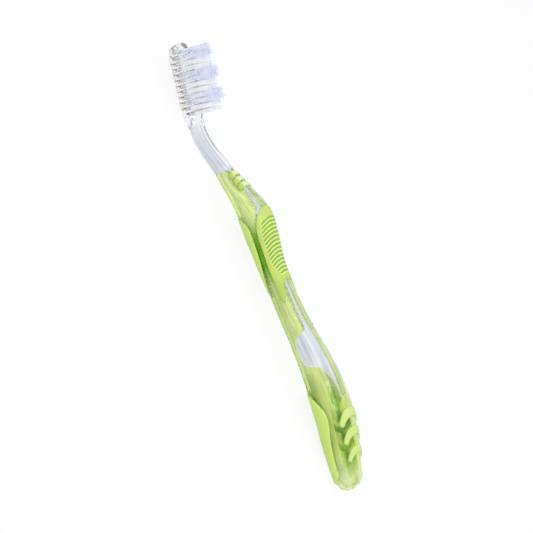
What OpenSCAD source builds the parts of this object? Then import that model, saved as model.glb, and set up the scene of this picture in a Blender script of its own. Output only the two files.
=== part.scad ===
// Manual toothbrush: a clear core with head and neck, a translucent handle sleeve,
// opaque rubber grips and twelve rows of bristle tufts held by metal anchors.
// Millimetres. The brush lies on its back: +X runs to the head's tip, +Z to the bristles.
// The handle is one master surface, surf(), that the core, the sleeve and the grips all follow.

/* [Lengths] */
// Length of the handle from its tail to the sleeve's collar
handle_len = 136; // [120:1:150]
// Length of the bare clear neck between the collar and the head's heel
neck_len = 24; // [16:1:34]
// Length of the head along the brush
head_len = 30; // [27:0.5:36]

/* [Handle] */
// Greatest width of the handle, side to side
grip_width = 15.2; // [12:0.1:18]
// Greatest depth of the handle, back to front
grip_depth = 15; // [12:0.1:18]
// Height of the handle's highest centre point above the neck's lowest
handle_rise = 9.3; // [6:0.1:12]
// Length over which the tail rounds off
tail_round = 5.6; // [3:0.1:9]
// Wall of the translucent sleeve over the clear core
sleeve_wall = 1.5; // [1:0.1:2]
// Depth of the clear window below the sleeve's skin
window_recess = 0.15; // [0.1:0.05:0.4]
// Angle from the front line to the edge of a window where it wraps furthest
window_angle = 98; // [80:1:104]
// Height above the skin of the green bead between the two clear windows
bead_rise = 0.6; // [0.2:0.05:0.8]

/* [Neck and head] */
// Width of the neck at its narrowest
neck_width = 6; // [4:0.1:8]
// Depth of the neck at its narrowest
neck_depth = 5.8; // [4:0.1:7]
// Depth of the flat on which the neck rests
neck_flat = 0.2; // [0.1:0.05:0.4]
// Width of the head across its tuft field
head_width = 11.3; // [10.8:0.1:14]
// Thickness of the head, back to bristle face
head_thick = 5.2; // [4.6:0.1:6]
// Angle by which the head leans toward the bristles
head_tilt = 11.2; // [0:0.2:16]
// Length over which the head's tip rounds off in plan
tip_round = 6.4; // [5:0.1:7]
// Length over which the tip's edge rounds off in thickness
tip_edge = 2.2; // [1:0.1:3]

/* [Tufts] */
// Distance from the head's tip to the first row of tufts
tip_margin = 3.3; // [3:0.1:4]
// Distance between rows of tufts
row_pitch = 2.25; // [2.1:0.05:2.4]
// Distance between tufts in a row
tuft_pitch = 2.56; // [2.2:0.02:2.6]
// Diameter of a tuft hole
hole_d = 1.7; // [1.4:0.05:1.8]
// Depth of a tuft hole below the face
hole_depth = 3.4; // [2.6:0.1:3.6]
// Gap around the root of a tuft
root_gap = 0.05; // [0.02:0.01:0.1]
// Height of the white tufts above the face
white_len = 9; // [7:0.1:11]
// Height of the coloured feathered tufts above the face
blue_len = 11.2; // [9:0.1:13]
// Depth of the feathering at the coloured tufts' ends
feather = 1.6; // [0.4:0.1:2.4]
// Diameter of one modelled strand, corner to corner
strand_d = 0.34; // [0.2:0.02:0.36]
// Length of strand fused into the root
strand_root = 0.5; // [0.3:0.1:0.8]
// Width of a metal anchor across its hole
anchor_width = 2; // [1.8:0.05:2.2]
// Height of a metal anchor
anchor_height = 1.2; // [0.8:0.1:1.5]
// Thickness of a metal anchor
anchor_thick = 0.35; // [0.2:0.05:0.5]
// Gap between a metal anchor and its slot
anchor_gap = 0.03; // [0.01:0.01:0.08]

/* [Grips] */
// Height of the rubber grips above the sleeve's skin
grip_rise = 0.35; // [0.2:0.05:0.8]
// Depth of the pockets that the rubber grips sit in
pocket_depth = 0.8; // [0.5:0.05:1]
// Gap between a moulded piece and what it is bonded to
bond_gap = 0.05; // [0.02:0.01:0.1]
// Number of grooves across the thumb grip
groove_count = 15; // [6:1:16]
// Distance from the collar to the first groove of the thumb grip
groove_start = 24.6; // [23:0.1:26]
// Distance between grooves of the thumb grip
groove_pitch = 1.55; // [1.2:0.01:1.6]
// Depth of a groove of the thumb grip
groove_depth = 0.6; // [0.2:0.05:0.8]
// How far a groove arches toward the head in the middle
groove_bow = 3.4; // [0:0.1:4]
// Number of raised ribs across the front at the collar
neck_rib_count = 3; // [1:1:3]
// Distance from the collar to the first raised rib
neck_rib_start = 1.9; // [1.6:0.1:2.4]
// Distance between raised ribs
neck_rib_pitch = 2.75; // [2.5:0.05:3]
// Width of a raised rib along the neck
neck_rib_width = 2.1; // [1.2:0.1:2.2]
// Height of a raised rib above the sleeve's skin
neck_rib_rise = 0.55; // [0.2:0.05:0.8]
// How far a raised rib arches toward the head in the middle
neck_rib_bow = 1.4; // [0:0.1:1.8]
// Angle from the front line to a raised rib's end
neck_rib_angle = 52; // [38:1:60]

/* [Tail grips] */
// Distance from the tail to the crest of the crescent nearest the head
crescent_crest = 31.4; // [29:0.1:33]
// Distance between the crescents' crests
crescent_pitch = 7.6; // [7:0.1:8.4]
// Band of the largest crescent at its crest
crescent_band = 4.1; // [3.4:0.1:4.6]
// How far the ends of the largest crescent lie behind its crest
crescent_sweep = 6.8; // [6:0.1:7.2]
// Angle from the front line to the end of the largest crescent
crescent_angle = 52; // [40:1:58]
// Height of the crescents above the sleeve's skin
crescent_rise = 0.55; // [0.2:0.05:0.8]
// Thickness of the rubber runner that lies on the core under the sleeve
runner_thick = 1; // [0.6:0.1:1.4]
// Width of the runner's stem
stem_width = 2.6; // [1.6:0.1:3.4]
// Length of the runner's leaf
leaf_len = 7; // [5:0.1:8]
// Width of the runner's leaf
leaf_width = 6.8; // [4:0.1:7.6]
// Radius of the runner's arms
arm_radius = 3.6; // [2.6:0.1:4]

/* [Hidden] */

// One overrun for every cut
over = 1;
// Angles of the front line and of the back line
front = 90;
back = 270;
// Points round the handle, and round the faceted ends
ring_points = 24;
// Depth to which the window pad runs into the core, and its limit as a share of the half depth
pad_root = 5.2;
root_share = 0.72;

// Where the collar, the heel and the tip stand, from the tail
collar_at = handle_len;
heel_at = handle_len + neck_len;
brush_len = handle_len + neck_len + head_len;

// Height of the neck's lowest centre, cut flat where it lies on the table
rest_z = neck_depth / 2 - neck_flat;
// Height of the head's centre line at its heel, as a share of the handle's rise
heel_share = 0.075;
heel_z = rest_z + heel_share * handle_rise;
head_axis = head_len / cos(head_tilt);

// Squareness of the section: 2 is an ellipse, higher is squarer
handle_square = 2.3;
neck_square = 2.8;
head_square = 4.4;

// Handle stations: length, centre height, half depth and half width, each a share
handle_shares = [
    [0, 0.2, 0.72, 0.72], [0.044, 0.27, 0.76, 0.77], [0.103, 0.465, 0.9, 0.89],
    [0.162, 0.645, 0.975, 0.965], [0.22, 0.82, 1, 1], [0.28, 0.905, 0.985, 0.99],
    [0.338, 0.965, 0.94, 0.95], [0.397, 0.95, 0.87, 0.88], [0.456, 0.895, 0.78, 0.8],
    [0.515, 0.82, 0.7, 0.72], [0.574, 0.785, 0.665, 0.68], [0.632, 0.783, 0.65, 0.665],
    [0.69, 0.8, 0.685, 0.69], [0.75, 0.885, 0.76, 0.76], [0.794, 0.95, 0.825, 0.83],
    [0.83, 1, 0.845, 0.845], [0.868, 0.975, 0.81, 0.81], [0.897, 0.885, 0.73, 0.73],
    [0.926, 0.755, 0.645, 0.64], [0.963, 0.58, 0.555, 0.55], [1, 0.43, 0.48, 0.475]];

// Neck stations: length, centre height, half depth and half width, each a share
neck_shares = [
    [0.17, 0.31, 1.14, 1.13], [0.34, 0.17, 1.09, 1.09], [0.52, 0.055, 1.03, 1.03],
    [0.7, 0, 1, 1], [0.86, 0.02, 0.98, 1.06]];

// Head stations: length, half depth and half width, each a share
head_shares = [
    [0, 1, 0.72], [0.08, 1, 0.86], [0.17, 1, 0.96], [0.3, 1, 1], [0.6, 1, 1], [1, 1, 1]];

// The spine: place along the brush, centre height, half depth, half width, squareness
spine = concat(
    [for (s = handle_shares) [s[0] * handle_len, rest_z + s[1] * handle_rise,
        s[2] * grip_depth / 2, s[3] * grip_width / 2, handle_square]],
    [for (s = neck_shares) [collar_at + s[0] * neck_len, rest_z + s[1] * handle_rise,
        s[2] * neck_depth / 2, s[3] * neck_width / 2, neck_square]],
    [for (s = head_shares) [heel_at + s[0] * head_len,
        heel_z + s[0] * head_len * tan(head_tilt),
        s[1] * head_thick / cos(head_tilt) / 2, s[2] * head_width / 2, head_square]]);

// Smooth curve through the spine's stations, one column at a time
function leg(u, i = 0) = (i >= len(spine) - 2 || u < spine[i + 1][0]) ? i : leg(u, i + 1);
function slope(i, c) = let (a = max(i - 1, 0), b = min(i + 1, len(spine) - 1))
    (spine[b][c] - spine[a][c]) / (spine[b][0] - spine[a][0]);
function blend(t, h, p, m, q, n) =
    p * (2 * pow(t, 3) - 3 * pow(t, 2) + 1) + m * h * (pow(t, 3) - 2 * pow(t, 2) + t)
    + q * (3 * pow(t, 2) - 2 * pow(t, 3)) + n * h * (pow(t, 3) - pow(t, 2));
function at(u, c) = let (i = leg(u), h = spine[i + 1][0] - spine[i][0])
    blend((u - spine[i][0]) / h, h, spine[i][c], slope(i, c), spine[i + 1][c], slope(i + 1, c));

// Rounding of an end: 0 at the end, 1 from the length r on
function rounded(d, r, p) = d >= r ? 1 : d <= 0 ? 0 : pow(1 - pow((r - d) / r, p), 1 / p);
function power(v, e) = sign(v) * pow(abs(v), e);

// Half depth and half width of the surface that lies off from the master surface
function half_depth(u, off) = (at(u, 2) + off) * rounded(u + off, tail_round + off, 2)
    * rounded(brush_len - u, tip_edge, 3);
function half_width(u, off) = (at(u, 3) + off) * rounded(u + off, tail_round + off, 2)
    * rounded(brush_len - u, tip_round, 2);

// A point of that surface, at place u and angle ang from the side toward the front
function surf(u, ang, off) = let (e = 2 / at(u, 4))
    [u - brush_len / 2, half_width(u, off) * power(cos(ang), e),
        at(u, 1) + half_depth(u, off) * power(sin(ang), e)];

// Front seat of the core in the tail, where the rubber runner lies
runner_tilt = 12.6;
seat_at = crescent_crest + crescent_pitch;
seat_share = 1.26;
seat_z = rest_z + seat_share * handle_rise;
function seat(u) = seat_z + (u - seat_at) * tan(runner_tilt);
function seated(p, off) = [p[0], p[1], min(p[2], seat(p[0] + brush_len / 2) + off)];

// One ring of points round the surface
function ring(u, off) = [for (k = [0:ring_points - 1]) surf(u, 360 * k / ring_points, off)];
function seat_ring(u, off, lift) = [for (p = ring(u, off)) seated(p, lift)];
function pole(u) = [u - brush_len / 2, 0, at(u, 1)];

// Places of the rings: close together round the ends
tail_steps = 5;
tail_stops = [for (k = [1:tail_steps]) tail_round * (1 - cos(90 * k / tail_steps))];
body_steps = 25;
body_stops = [for (k = [1:body_steps]) tail_round + (collar_at - tail_round) * k / body_steps];
neck_steps = 8;
neck_stops = [for (k = [1:neck_steps]) collar_at + neck_len * k / neck_steps];
head_steps = 7;
tip_steps = 6;
head_run = head_len - tip_round;
head_stops = [for (k = [1:head_steps]) heel_at + head_run * k / head_steps];
tip_stops = [for (k = [1:tip_steps - 1]) brush_len - tip_round * (1 - sin(90 * k / tip_steps))];

// Solid through a list of rings, closed at both ends by a pole
module loft(rings, first, last) {
    n = len(rings[0]);
    m = len(rings);
    points = concat([first], [for (r = rings) for (p = r) p], [last]);
    sides = [for (i = [0:m - 2]) for (k = [0:n - 1]) for (f = [
        [i * n + k, (i + 1) * n + k, (i + 1) * n + (k + 1) % n],
        [i * n + k, (i + 1) * n + (k + 1) % n, i * n + (k + 1) % n]]) [for (v = f) v + 1]];
    start = [for (k = [0:n - 1]) [0, k + 1, (k + 1) % n + 1]];
    end = [for (k = [0:n - 1]) [m * n + 1, (m - 1) * n + (k + 1) % n + 1, (m - 1) * n + k + 1]];
    polyhedron(points, concat(start, sides, end), convexity = 8);
}

// Pad that follows the master surface: a grid of [place, angle, low offset, high offset]
module skin(grid) {
    m = len(grid);
    n = len(grid[0]);
    t = m * n;
    points = concat([for (r = grid) for (q = r) surf(q[0], q[1], q[3])],
        [for (r = grid) for (q = r) surf(q[0], q[1], q[2])]);
    cells = [for (i = [0:m - 2]) for (j = [0:n - 2]) [i * n + j, (i + 1) * n + j,
        (i + 1) * n + j + 1, i * n + j + 1]];
    rim = concat([for (j = [0:n - 2]) [j, j + 1]],
        [for (i = [0:m - 2]) [i * n + n - 1, (i + 1) * n + n - 1]],
        [for (j = [n - 1:-1:1]) [(m - 1) * n + j, (m - 1) * n + j - 1]],
        [for (i = [m - 1:-1:1]) [i * n, (i - 1) * n]]);
    faces = concat(
        [for (c = cells) for (f = [[c[0], c[1], c[2]], [c[0], c[2], c[3]]]) f],
        [for (c = cells) for (f = [[c[0], c[2], c[1]], [c[0], c[3], c[2]]]) [for (v = f) v + t]],
        [for (e = rim) for (f = [[e[0], e[1], e[1] + t], [e[0], e[1] + t, e[0] + t]]) f]);
    polyhedron(points, faces, convexity = 8);
}

// Straight-line reading of a table of [place, value]
function read(table, u, i = 0) = (i >= len(table) - 2 || u < table[i + 1][0])
    ? let (f = (u - table[i][0]) / (table[i + 1][0] - table[i][0]))
        table[i][1] + max(0, min(1, f)) * (table[i + 1][1] - table[i][1])
    : read(table, u, i + 1);

// Angle that a length spans on the handle, and an outline of [place, half angle] grown by a gap
function span(gap) = gap / (grip_width / 2) * 180 / PI;
function grown(outline, gap) = let (m = len(outline)) [for (i = [0:m - 1])
    [outline[i][0] + (i == 0 ? -gap : i == m - 1 ? gap : 0), outline[i][1] + span(gap)]];

// Grid over an outline about the line at angle mid
function outline_grid(outline, mid, cols, low, high) =
    [for (s = outline) [for (f = cols) [s[0], mid + f * s[1], low, high]]];

// Windows and lanes, a pair either side of the front line: place as a share of the handle, then
// the half angles of the outer edge and of the inner edge as shares of the window's
window_low_shares = [
    [0.268, 0.125, 0.085], [0.285, 0.14, 0.085], [0.303, 0.17, 0.085], [0.326, 0.27, 0.085],
    [0.353, 0.4, 0.085], [0.372, 0.49, 0.085], [0.378, 0.62, 0.085], [0.383, 0.8, 0.085],
    [0.393, 0.94, 0.085], [0.41, 1, 0.085], [0.437, 0.99, 0.085], [0.455, 0.95, 0.085],
    [0.471, 0.86, 0.085], [0.479, 0.64, 0.085], [0.486, 0.39, 0.085], [0.495, 0.31, 0.085],
    [0.535, 0.28, 0.085], [0.58, 0.26, 0.085], [0.62, 0.245, 0.085], [0.65, 0.23, 0.085]];
window_top_shares = [
    [0.847, 0.55, 0.42], [0.852, 0.54, 0.35], [0.857, 0.47, 0.26], [0.862, 0.39, 0.21],
    [0.872, 0.36, 0.19], [0.885, 0.335, 0.165], [0.9, 0.31, 0.13], [0.92, 0.285, 0.1],
    [0.94, 0.27, 0.085], [0.97, 0.265, 0.085]];
lane_end_shares = [0.265, 0.085];
window_low = [for (s = window_low_shares) [s[0] * handle_len, s[1] * window_angle,
    s[2] * window_angle]];
window_top = [for (s = window_top_shares) [s[0] * handle_len, s[1] * window_angle,
    s[2] * window_angle]];
function lane_end(reach) = [[collar_at + reach, lane_end_shares[0] * window_angle,
    lane_end_shares[1] * window_angle]];
window_col_shares = [0, 0.2, 0.4, 0.6, 0.8, 1];

// Grid of one window, on the side given by 1 or -1, whose low side runs as deep as the section
// allows
function window_grid(edges, side, gap, high) = let (m = len(edges)) [for (i = [0:m - 1])
    let (u = edges[i][0] + (i == 0 ? -gap : i == m - 1 ? gap : 0),
        outer = edges[i][1] + span(gap), inner = edges[i][2] - span(gap))
    [for (f = window_col_shares) [u, front + (side > 0 ? inner : -outer) + f * (outer - inner),
        -min(pad_root, root_share * at(u, 2)), high]]];

// All four windows, grown by a gap
module windows(gap, high, reach) {
    for (side = [-1, 1]) {
        skin(window_grid(window_low, side, gap, high));
        skin(window_grid(concat(window_top, lane_end(reach)), side, gap, high));
    }
}

// Green bead between the windows, sunk in the sleeve's front
bead_col_shares = [-0.97, -0.74, 0, 0.74, 0.97];
bead_rise_shares = [0, 0.85, 1, 0.85, 0];
bead_last = len(window_low) - 2;
bead_grid = [for (i = [0:bead_last]) [for (j = [0:len(bead_col_shares) - 1]) [window_low[i][0],
    front + bead_col_shares[j] * window_low[i][2], -sleeve_wall / 2,
    (i == 0 || i == bead_last ? 0 : bead_rise_shares[j]) * (bead_rise + bond_gap) - bond_gap]]];

// Thumb grip: place as a share of the handle, half angle as a share of its greatest
thumb_angle = 77;
thumb_shares = [
    [0.583, 0.86], [0.587, 0.93], [0.6, 0.99], [0.62, 1], [0.64, 1], [0.665, 1], [0.69, 1],
    [0.715, 1]];
thumb_top_shares = [
    [0.74, 1], [0.765, 0.99], [0.79, 0.98], [0.806, 0.94], [0.824, 0.86], [0.838, 0.74],
    [0.848, 0.6], [0.857, 0.42], [0.862, 0.2]];
thumb_low = [for (s = thumb_shares) [s[0] * handle_len, s[1] * thumb_angle]];
thumb_top = [for (s = thumb_top_shares) [s[0] * handle_len, s[1] * thumb_angle]];
thumb_outline = concat(thumb_low, thumb_top);
thumb_cols = [-1, -0.93, -0.82, -0.72, -0.36, 0, 0.36, 0.72, 0.82, 0.93, 1];
// Depth of groove at each column, how far each column arches as a share of the bow, and the share
// of the pitch at which a groove's edges stand
groove_col_shares = [0, 0, 0, 0.8, 1, 1, 1, 0.8, 0, 0, 0];
groove_arch_shares = [-0.05, -0.1, -0.17, -0.02, 0.37, 0.5, 0.37, -0.02, -0.17, -0.1, -0.05];
// The last grooves are shorter
short_grooves = 2;
short_share = 0.4;
groove_edge_shares = [0, 0.3, 0.6];
groove_level_shares = [0, 1, 0];
// Notch between the thumb grip's legs
notch_shares = [
    [0.575, 0.85], [0.588, 0.72], [0.6, 0.62], [0.615, 0.54], [0.63, 0.45], [0.637, 0.32],
    [0.641, 0.18], [0.643, 0.04]];
notch = [for (s = notch_shares) [s[0] * handle_len, s[1] * thumb_angle]];

// Back grips: place as a share of the handle, half angle as a share of the greatest
back_angle = 94;
upper_shares = [
    [0.606, 0.06], [0.616, 0.24], [0.635, 0.46], [0.665, 0.67], [0.7, 0.79], [0.74, 0.86],
    [0.775, 0.89], [0.805, 0.89], [0.825, 0.84], [0.842, 0.7], [0.852, 0.54], [0.857, 0.36]];
lower_shares = [
    [0.034, 0.4], [0.04, 0.62], [0.05, 0.82], [0.062, 0.88], [0.085, 0.89], [0.12, 0.91],
    [0.165, 0.95], [0.2, 1], [0.235, 0.99], [0.255, 0.94], [0.276, 0.82], [0.292, 0.66],
    [0.304, 0.48], [0.312, 0.3]];
upper_outline = [for (s = upper_shares) [s[0] * handle_len, s[1] * back_angle]];
lower_outline = [for (s = lower_shares) [s[0] * handle_len, s[1] * back_angle]];
back_cols = [-1, -0.94, -0.75, -0.5, -0.25, 0, 0.25, 0.5, 0.75, 0.94, 1];
cutter_cols = [-1, -0.67, -0.33, 0, 0.33, 0.67, 1];
notch_cols = [-1, -0.5, 0, 0.5, 1];
// Height of a grip's edge as a share of its rise
edge_share = 0.3;

// A grip with a low edge all round: its rim rows and rim columns stand lower
function lipped(outline, mid, cols, low, high) = let (m = len(outline), n = len(cols))
    [for (i = [0:m - 1]) [for (j = [0:n - 1]) [outline[i][0], mid + cols[j] * outline[i][1], low,
        (i == 0 || i == m - 1 || j == 0 || j == n - 1) ? high * edge_share : high]]];

// Rows of the thumb grip through its grooves, each arched toward the head
function groove_u(k, s) = collar_at - groove_start - (groove_count - 1 - k + s) * groove_pitch;
groove_rows = [for (k = [0:groove_count - 1]) for (s = [0:len(groove_edge_shares) - 1])
    [groove_u(k, 1 - groove_edge_shares[s]), groove_level_shares[s], k < short_grooves]];
function thumb_row(u, level, short, bow) = let (n = len(thumb_cols),
        w = read(thumb_outline, u + bow * groove_arch_shares[0]))
    [for (j = [0:n - 1]) let (f = thumb_cols[j]) [u + bow * groove_arch_shares[j], front + f * w,
        bond_gap - pocket_depth, (j == 0 || j == n - 1) ? grip_rise * edge_share
        : grip_rise - ((short && abs(f) > short_share) ? 0 : level * groove_col_shares[j]
        * groove_depth)]];
function thumb_end(s) = [for (f = thumb_cols) [s[0], front + f * s[1], bond_gap - pocket_depth,
    grip_rise * edge_share]];
grooves_from = groove_rows[0][0] + groove_bow * min(groove_arch_shares) - bond_gap;
grooves_to = groove_rows[len(groove_rows) - 1][0] + groove_bow * max(groove_arch_shares) + bond_gap;
thumb_grid = concat([thumb_end(thumb_low[0])],
    [for (i = [1:len(thumb_low) - 1]) if (thumb_low[i][0] < grooves_from)
        thumb_row(thumb_low[i][0], 0, false, 0)],
    [for (r = groove_rows) thumb_row(r[0], r[1], r[2], groove_bow)],
    [for (i = [0:len(thumb_top) - 2]) if (thumb_top[i][0] > grooves_to)
        thumb_row(thumb_top[i][0], 0, false, 0)],
    [thumb_end(thumb_top[len(thumb_top) - 1])]);

// Crescents: each is smaller toward the tail
crescent_size_shares = [1, 0.93, 0.82];
// Columns of a crescent: half angle as a share, then how far the outer edge lies behind the crest
// and the inner edge behind the band, as shares of the sweep
crescent_cut_shares = [
    [0, 0, 0], [0.22, 0.015, 0.02], [0.42, 0.075, 0.09], [0.58, 0.17, 0.22], [0.71, 0.29, 0.38],
    [0.82, 0.43, 0.39], [0.92, 0.58, 0.34], [1, 0.74, 0.21]];
crescent_last = len(crescent_cut_shares) - 1;
crescent_cols = concat([for (i = [crescent_last:-1:1]) let (s = crescent_cut_shares[i])
    [-s[0], s[1], s[2]]], crescent_cut_shares);
crescent_rows = [0, 0.14, 0.5, 0.86, 1];
function crescent_grid(c, low, high, rim, grow) = let (s = crescent_size_shares[c],
        crest = crescent_crest - c * crescent_pitch,
        reach = crescent_angle * (1 + s) / 2 + span(grow))
    [for (r = crescent_rows) [for (f = crescent_cols)
        let (outer = crest - f[1] * crescent_sweep * s,
            inner = crest - crescent_band * s - f[2] * crescent_sweep * s)
        [inner + r * (outer - inner) + grow * (3 * r - 2), front + f[0] * reach, low,
            (r == 0 || r == 1 || abs(f[0]) == 1) ? rim : high]]];

// Head frame: x from the heel along the head, z square to the bristle face
module on_head() {
    translate([heel_at - brush_len / 2, 0, heel_z]) rotate([0, -head_tilt, 0]) children();
}
row_tuft_counts = [3, 4, 4, 4, 4, 4, 4, 4, 4, 4, 4, 3];
function row_x(r) = head_axis - tip_margin - r * row_pitch;
function tuft_y(r, t) = (t - (row_tuft_counts[r] - 1) / 2) * tuft_pitch;
hole_floor = head_thick / 2 - hole_depth;
anchor_turn = 70;
row_list = [0:len(row_tuft_counts) - 1];

module each_tuft(rows) {
    for (r = rows) for (t = [0:row_tuft_counts[r] - 1])
        translate([row_x(r), tuft_y(r, t), 0]) children();
}

// A metal anchor, or its slot when grown by a gap
module anchor(gap) {
    rotate([0, 0, anchor_turn]) translate([-anchor_width / 2 - gap, -anchor_thick / 2 - gap,
        hole_floor - gap])
        cube([anchor_width + 2 * gap, anchor_thick + 2 * gap, anchor_height + gap]);
}

// A coloured row is longer and feathered; the pattern repeats every four rows
function coloured(r) = floor(r / 2) % 2 == 0;
outer_strands = 7;
inner_strands = 3;
outer_ring = hole_d / 2 - root_gap - strand_d / 2 - root_gap;
inner_ring = strand_d * 0.66;
function strand_top(r, k) = coloured(r) ? blue_len - feather * (k * 2 % 3) / 2
    : white_len - root_gap * (k % 2);

module strand(r, k, radius, turn, sides) {
    rotate([0, 0, turn]) translate([radius, 0, head_thick / 2 - strand_root])
        cylinder(h = strand_top(r, k) + strand_root, d = strand_d, $fn = sides);
}

module tuft(r) {
    root_floor = hole_floor + anchor_height + root_gap;
    translate([0, 0, root_floor])
        cylinder(h = head_thick / 2 - root_floor, d = hole_d - 2 * root_gap, $fn = 10);
    for (k = [0:outer_strands - 1]) strand(r, k, outer_ring, 360 * k / outer_strands, 4);
    for (k = [0:inner_strands - 1])
        strand(r, k + outer_strands, inner_ring, 360 * k / inner_strands, 3);
}

module tuft_row(r) {
    on_head() each_tuft([r]) tuft(r);
}

// Everything below the table, for the flats that the brush rests on
module below_table() {
    translate([-brush_len, -grip_width, -grip_depth]) cube([2 * brush_len, 2 * grip_width,
        grip_depth]);
}

// Runner frame: x along the core's seat toward the head, z square to the seat
module on_seat() {
    translate([seat_at - brush_len / 2, 0, seat_z]) rotate([0, -runner_tilt, 0]) children();
}

// Runner: a leaf, a stem and one arm below each crescent
leaf_shares = [[0.05, 0.3], [0.18, 0.42], [0.34, 0.49], [0.5, 0.48], [0.66, 0.41], [0.82, 0.3],
    [0.94, 0.16], [1, 0.04]];
leaf_start = -crescent_pitch / 2;
arm_places = [for (c = [0:2]) leaf_start - crescent_band - (c + 0.5) * crescent_pitch];
arm_size_shares = [1, 0.92, 0.78];
module runner(height, grow) {
    leaf = concat([[arm_places[2] - grow, stem_width / 2 + grow],
        [leaf_start - grow, stem_width / 2 + grow]],
        [for (s = leaf_shares) [leaf_start + s[0] * leaf_len + grow * (2 * s[0] - 1),
            s[1] * leaf_width + grow]]);
    linear_extrude(height)
        polygon(concat(leaf, [for (i = [len(leaf) - 1:-1:0]) [leaf[i][0], -leaf[i][1]]]));
    for (c = [0:2]) translate([arm_places[c], 0, 0]) difference() {
        cylinder(h = height, r = arm_radius * arm_size_shares[c] + grow, $fn = 48);
        translate([-arm_radius * arm_size_shares[c] * 1.3, 0, -over])
            cylinder(h = height + 2 * over, r = arm_radius * arm_size_shares[c] * 1.25 - grow,
                $fn = 48);
    }
}

// Pocket for the thumb grip, which leaves the ground between the grip's legs standing
module thumb_pocket() {
    difference() {
        skin(outline_grid(grown(thumb_outline, bond_gap), front, cutter_cols, -pocket_depth, over));
        skin(outline_grid(grown(notch, -bond_gap), front, notch_cols, -pocket_depth - over,
            2 * over));
    }
}

module clear_core() {
    inset = -sleeve_wall - bond_gap;
    start = -inset;
    tail = [for (k = [1:tail_steps]) start + (tail_round - start) * (1 - cos(90 * k / tail_steps))];
    rings = concat(
        [for (u = tail) seat_ring(u, inset, 0)],
        [for (u = body_stops) seat_ring(u, inset, 0)],
        [ring(collar_at + bond_gap, inset)], [ring(collar_at + bond_gap, 0)],
        [for (u = concat(neck_stops, head_stops, tip_stops)) ring(u, 0)]);
    color([0.86, 0.88, 0.94]) difference() {
        union() {
            loft(rings, pole(start), pole(brush_len));
            windows(-bond_gap, -window_recess, over / 2);
        }
        on_head() each_tuft(row_list) {
            translate([0, 0, hole_floor]) cylinder(h = hole_depth + over, d = hole_d, $fn = 20);
            anchor(anchor_gap);
        }
        on_seat() translate([0, 0, -runner_thick]) runner(runner_thick + over, bond_gap);
        thumb_pocket();
        below_table();
    }
}

module handle_sleeve() {
    rings = concat(
        [for (u = tail_stops) ring(u, 0)], [for (u = body_stops) ring(u, 0)],
        [ring(collar_at, -sleeve_wall)],
        [for (k = [body_steps - 1:-1:0]) seat_ring(body_stops[k], -sleeve_wall, bond_gap)],
        [for (k = [tail_steps:-1:1]) seat_ring(sleeve_wall + (tail_round - sleeve_wall)
            * (1 - cos(90 * k / tail_steps)), -sleeve_wall, bond_gap)]);
    color([0.66, 0.82, 0.36, 0.8]) difference() {
        union() {
            difference() {
                loft(rings, pole(0), pole(sleeve_wall));
                windows(0, over, over);
            }
            skin(bead_grid);
        }
        thumb_pocket();
        skin(outline_grid(grown(upper_outline, bond_gap), back, cutter_cols, -pocket_depth, over));
        skin(outline_grid(grown(lower_outline, bond_gap), back, cutter_cols, -pocket_depth, over));
        for (c = [0:2]) skin(crescent_grid(c, -pocket_depth, over, over, bond_gap));
        below_table();
    }
}

module neck_ribs() {
    rib_cols = [-1, -0.9, -0.6, -0.3, 0, 0.3, 0.6, 0.9, 1];
    rib_rows = [-0.5, -0.25, 0.25, 0.5];
    color([0.78, 0.88, 0.4]) for (k = [0:neck_rib_count - 1])
        skin([for (r = rib_rows) [for (f = rib_cols) [collar_at - neck_rib_start
            - k * neck_rib_pitch + r * neck_rib_width - neck_rib_bow * pow(f, 2),
            front + f * neck_rib_angle, bond_gap,
            (abs(r) == 0.5 || abs(f) == 1) ? neck_rib_rise * edge_share : neck_rib_rise]]]);
}

module thumb_grip() {
    color([0.8, 0.9, 0.42]) difference() {
        skin(thumb_grid);
        skin(outline_grid(notch, front, notch_cols, -pocket_depth - over, 2 * over));
    }
}

module upper_back_grip() {
    color([0.8, 0.9, 0.42]) skin(lipped(upper_outline, back, back_cols, bond_gap - pocket_depth,
        grip_rise));
}

module lower_back_grip() {
    color([0.8, 0.9, 0.42]) difference() {
        skin(lipped(lower_outline, back, back_cols, bond_gap - pocket_depth, grip_rise));
        below_table();
    }
}

module crescent_grip_1() { crescent(0); }
module crescent_grip_2() { crescent(1); }
module crescent_grip_3() { crescent(2); }
module crescent(c) {
    color([0.82, 0.92, 0.45]) skin(crescent_grid(c, bond_gap - pocket_depth, crescent_rise,
        crescent_rise * edge_share, 0));
}

module grip_runner() {
    color([0.4, 0.65, 0.12]) on_seat() translate([0, 0, bond_gap - runner_thick])
        runner(runner_thick - bond_gap, 0);
}

module tuft_anchors() {
    color([0.72, 0.58, 0.3]) on_head() each_tuft(row_list) anchor(0);
}

module tuft_row_01() { color([0.72, 0.75, 0.95]) tuft_row(0); }
module tuft_row_02() { color([0.72, 0.75, 0.95]) tuft_row(1); }
module tuft_row_03() { color([0.95, 0.95, 0.97]) tuft_row(2); }
module tuft_row_04() { color([0.95, 0.95, 0.97]) tuft_row(3); }
module tuft_row_05() { color([0.72, 0.75, 0.95]) tuft_row(4); }
module tuft_row_06() { color([0.72, 0.75, 0.95]) tuft_row(5); }
module tuft_row_07() { color([0.95, 0.95, 0.97]) tuft_row(6); }
module tuft_row_08() { color([0.95, 0.95, 0.97]) tuft_row(7); }
module tuft_row_09() { color([0.72, 0.75, 0.95]) tuft_row(8); }
module tuft_row_10() { color([0.72, 0.75, 0.95]) tuft_row(9); }
module tuft_row_11() { color([0.95, 0.95, 0.97]) tuft_row(10); }
module tuft_row_12() { color([0.95, 0.95, 0.97]) tuft_row(11); }

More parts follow.
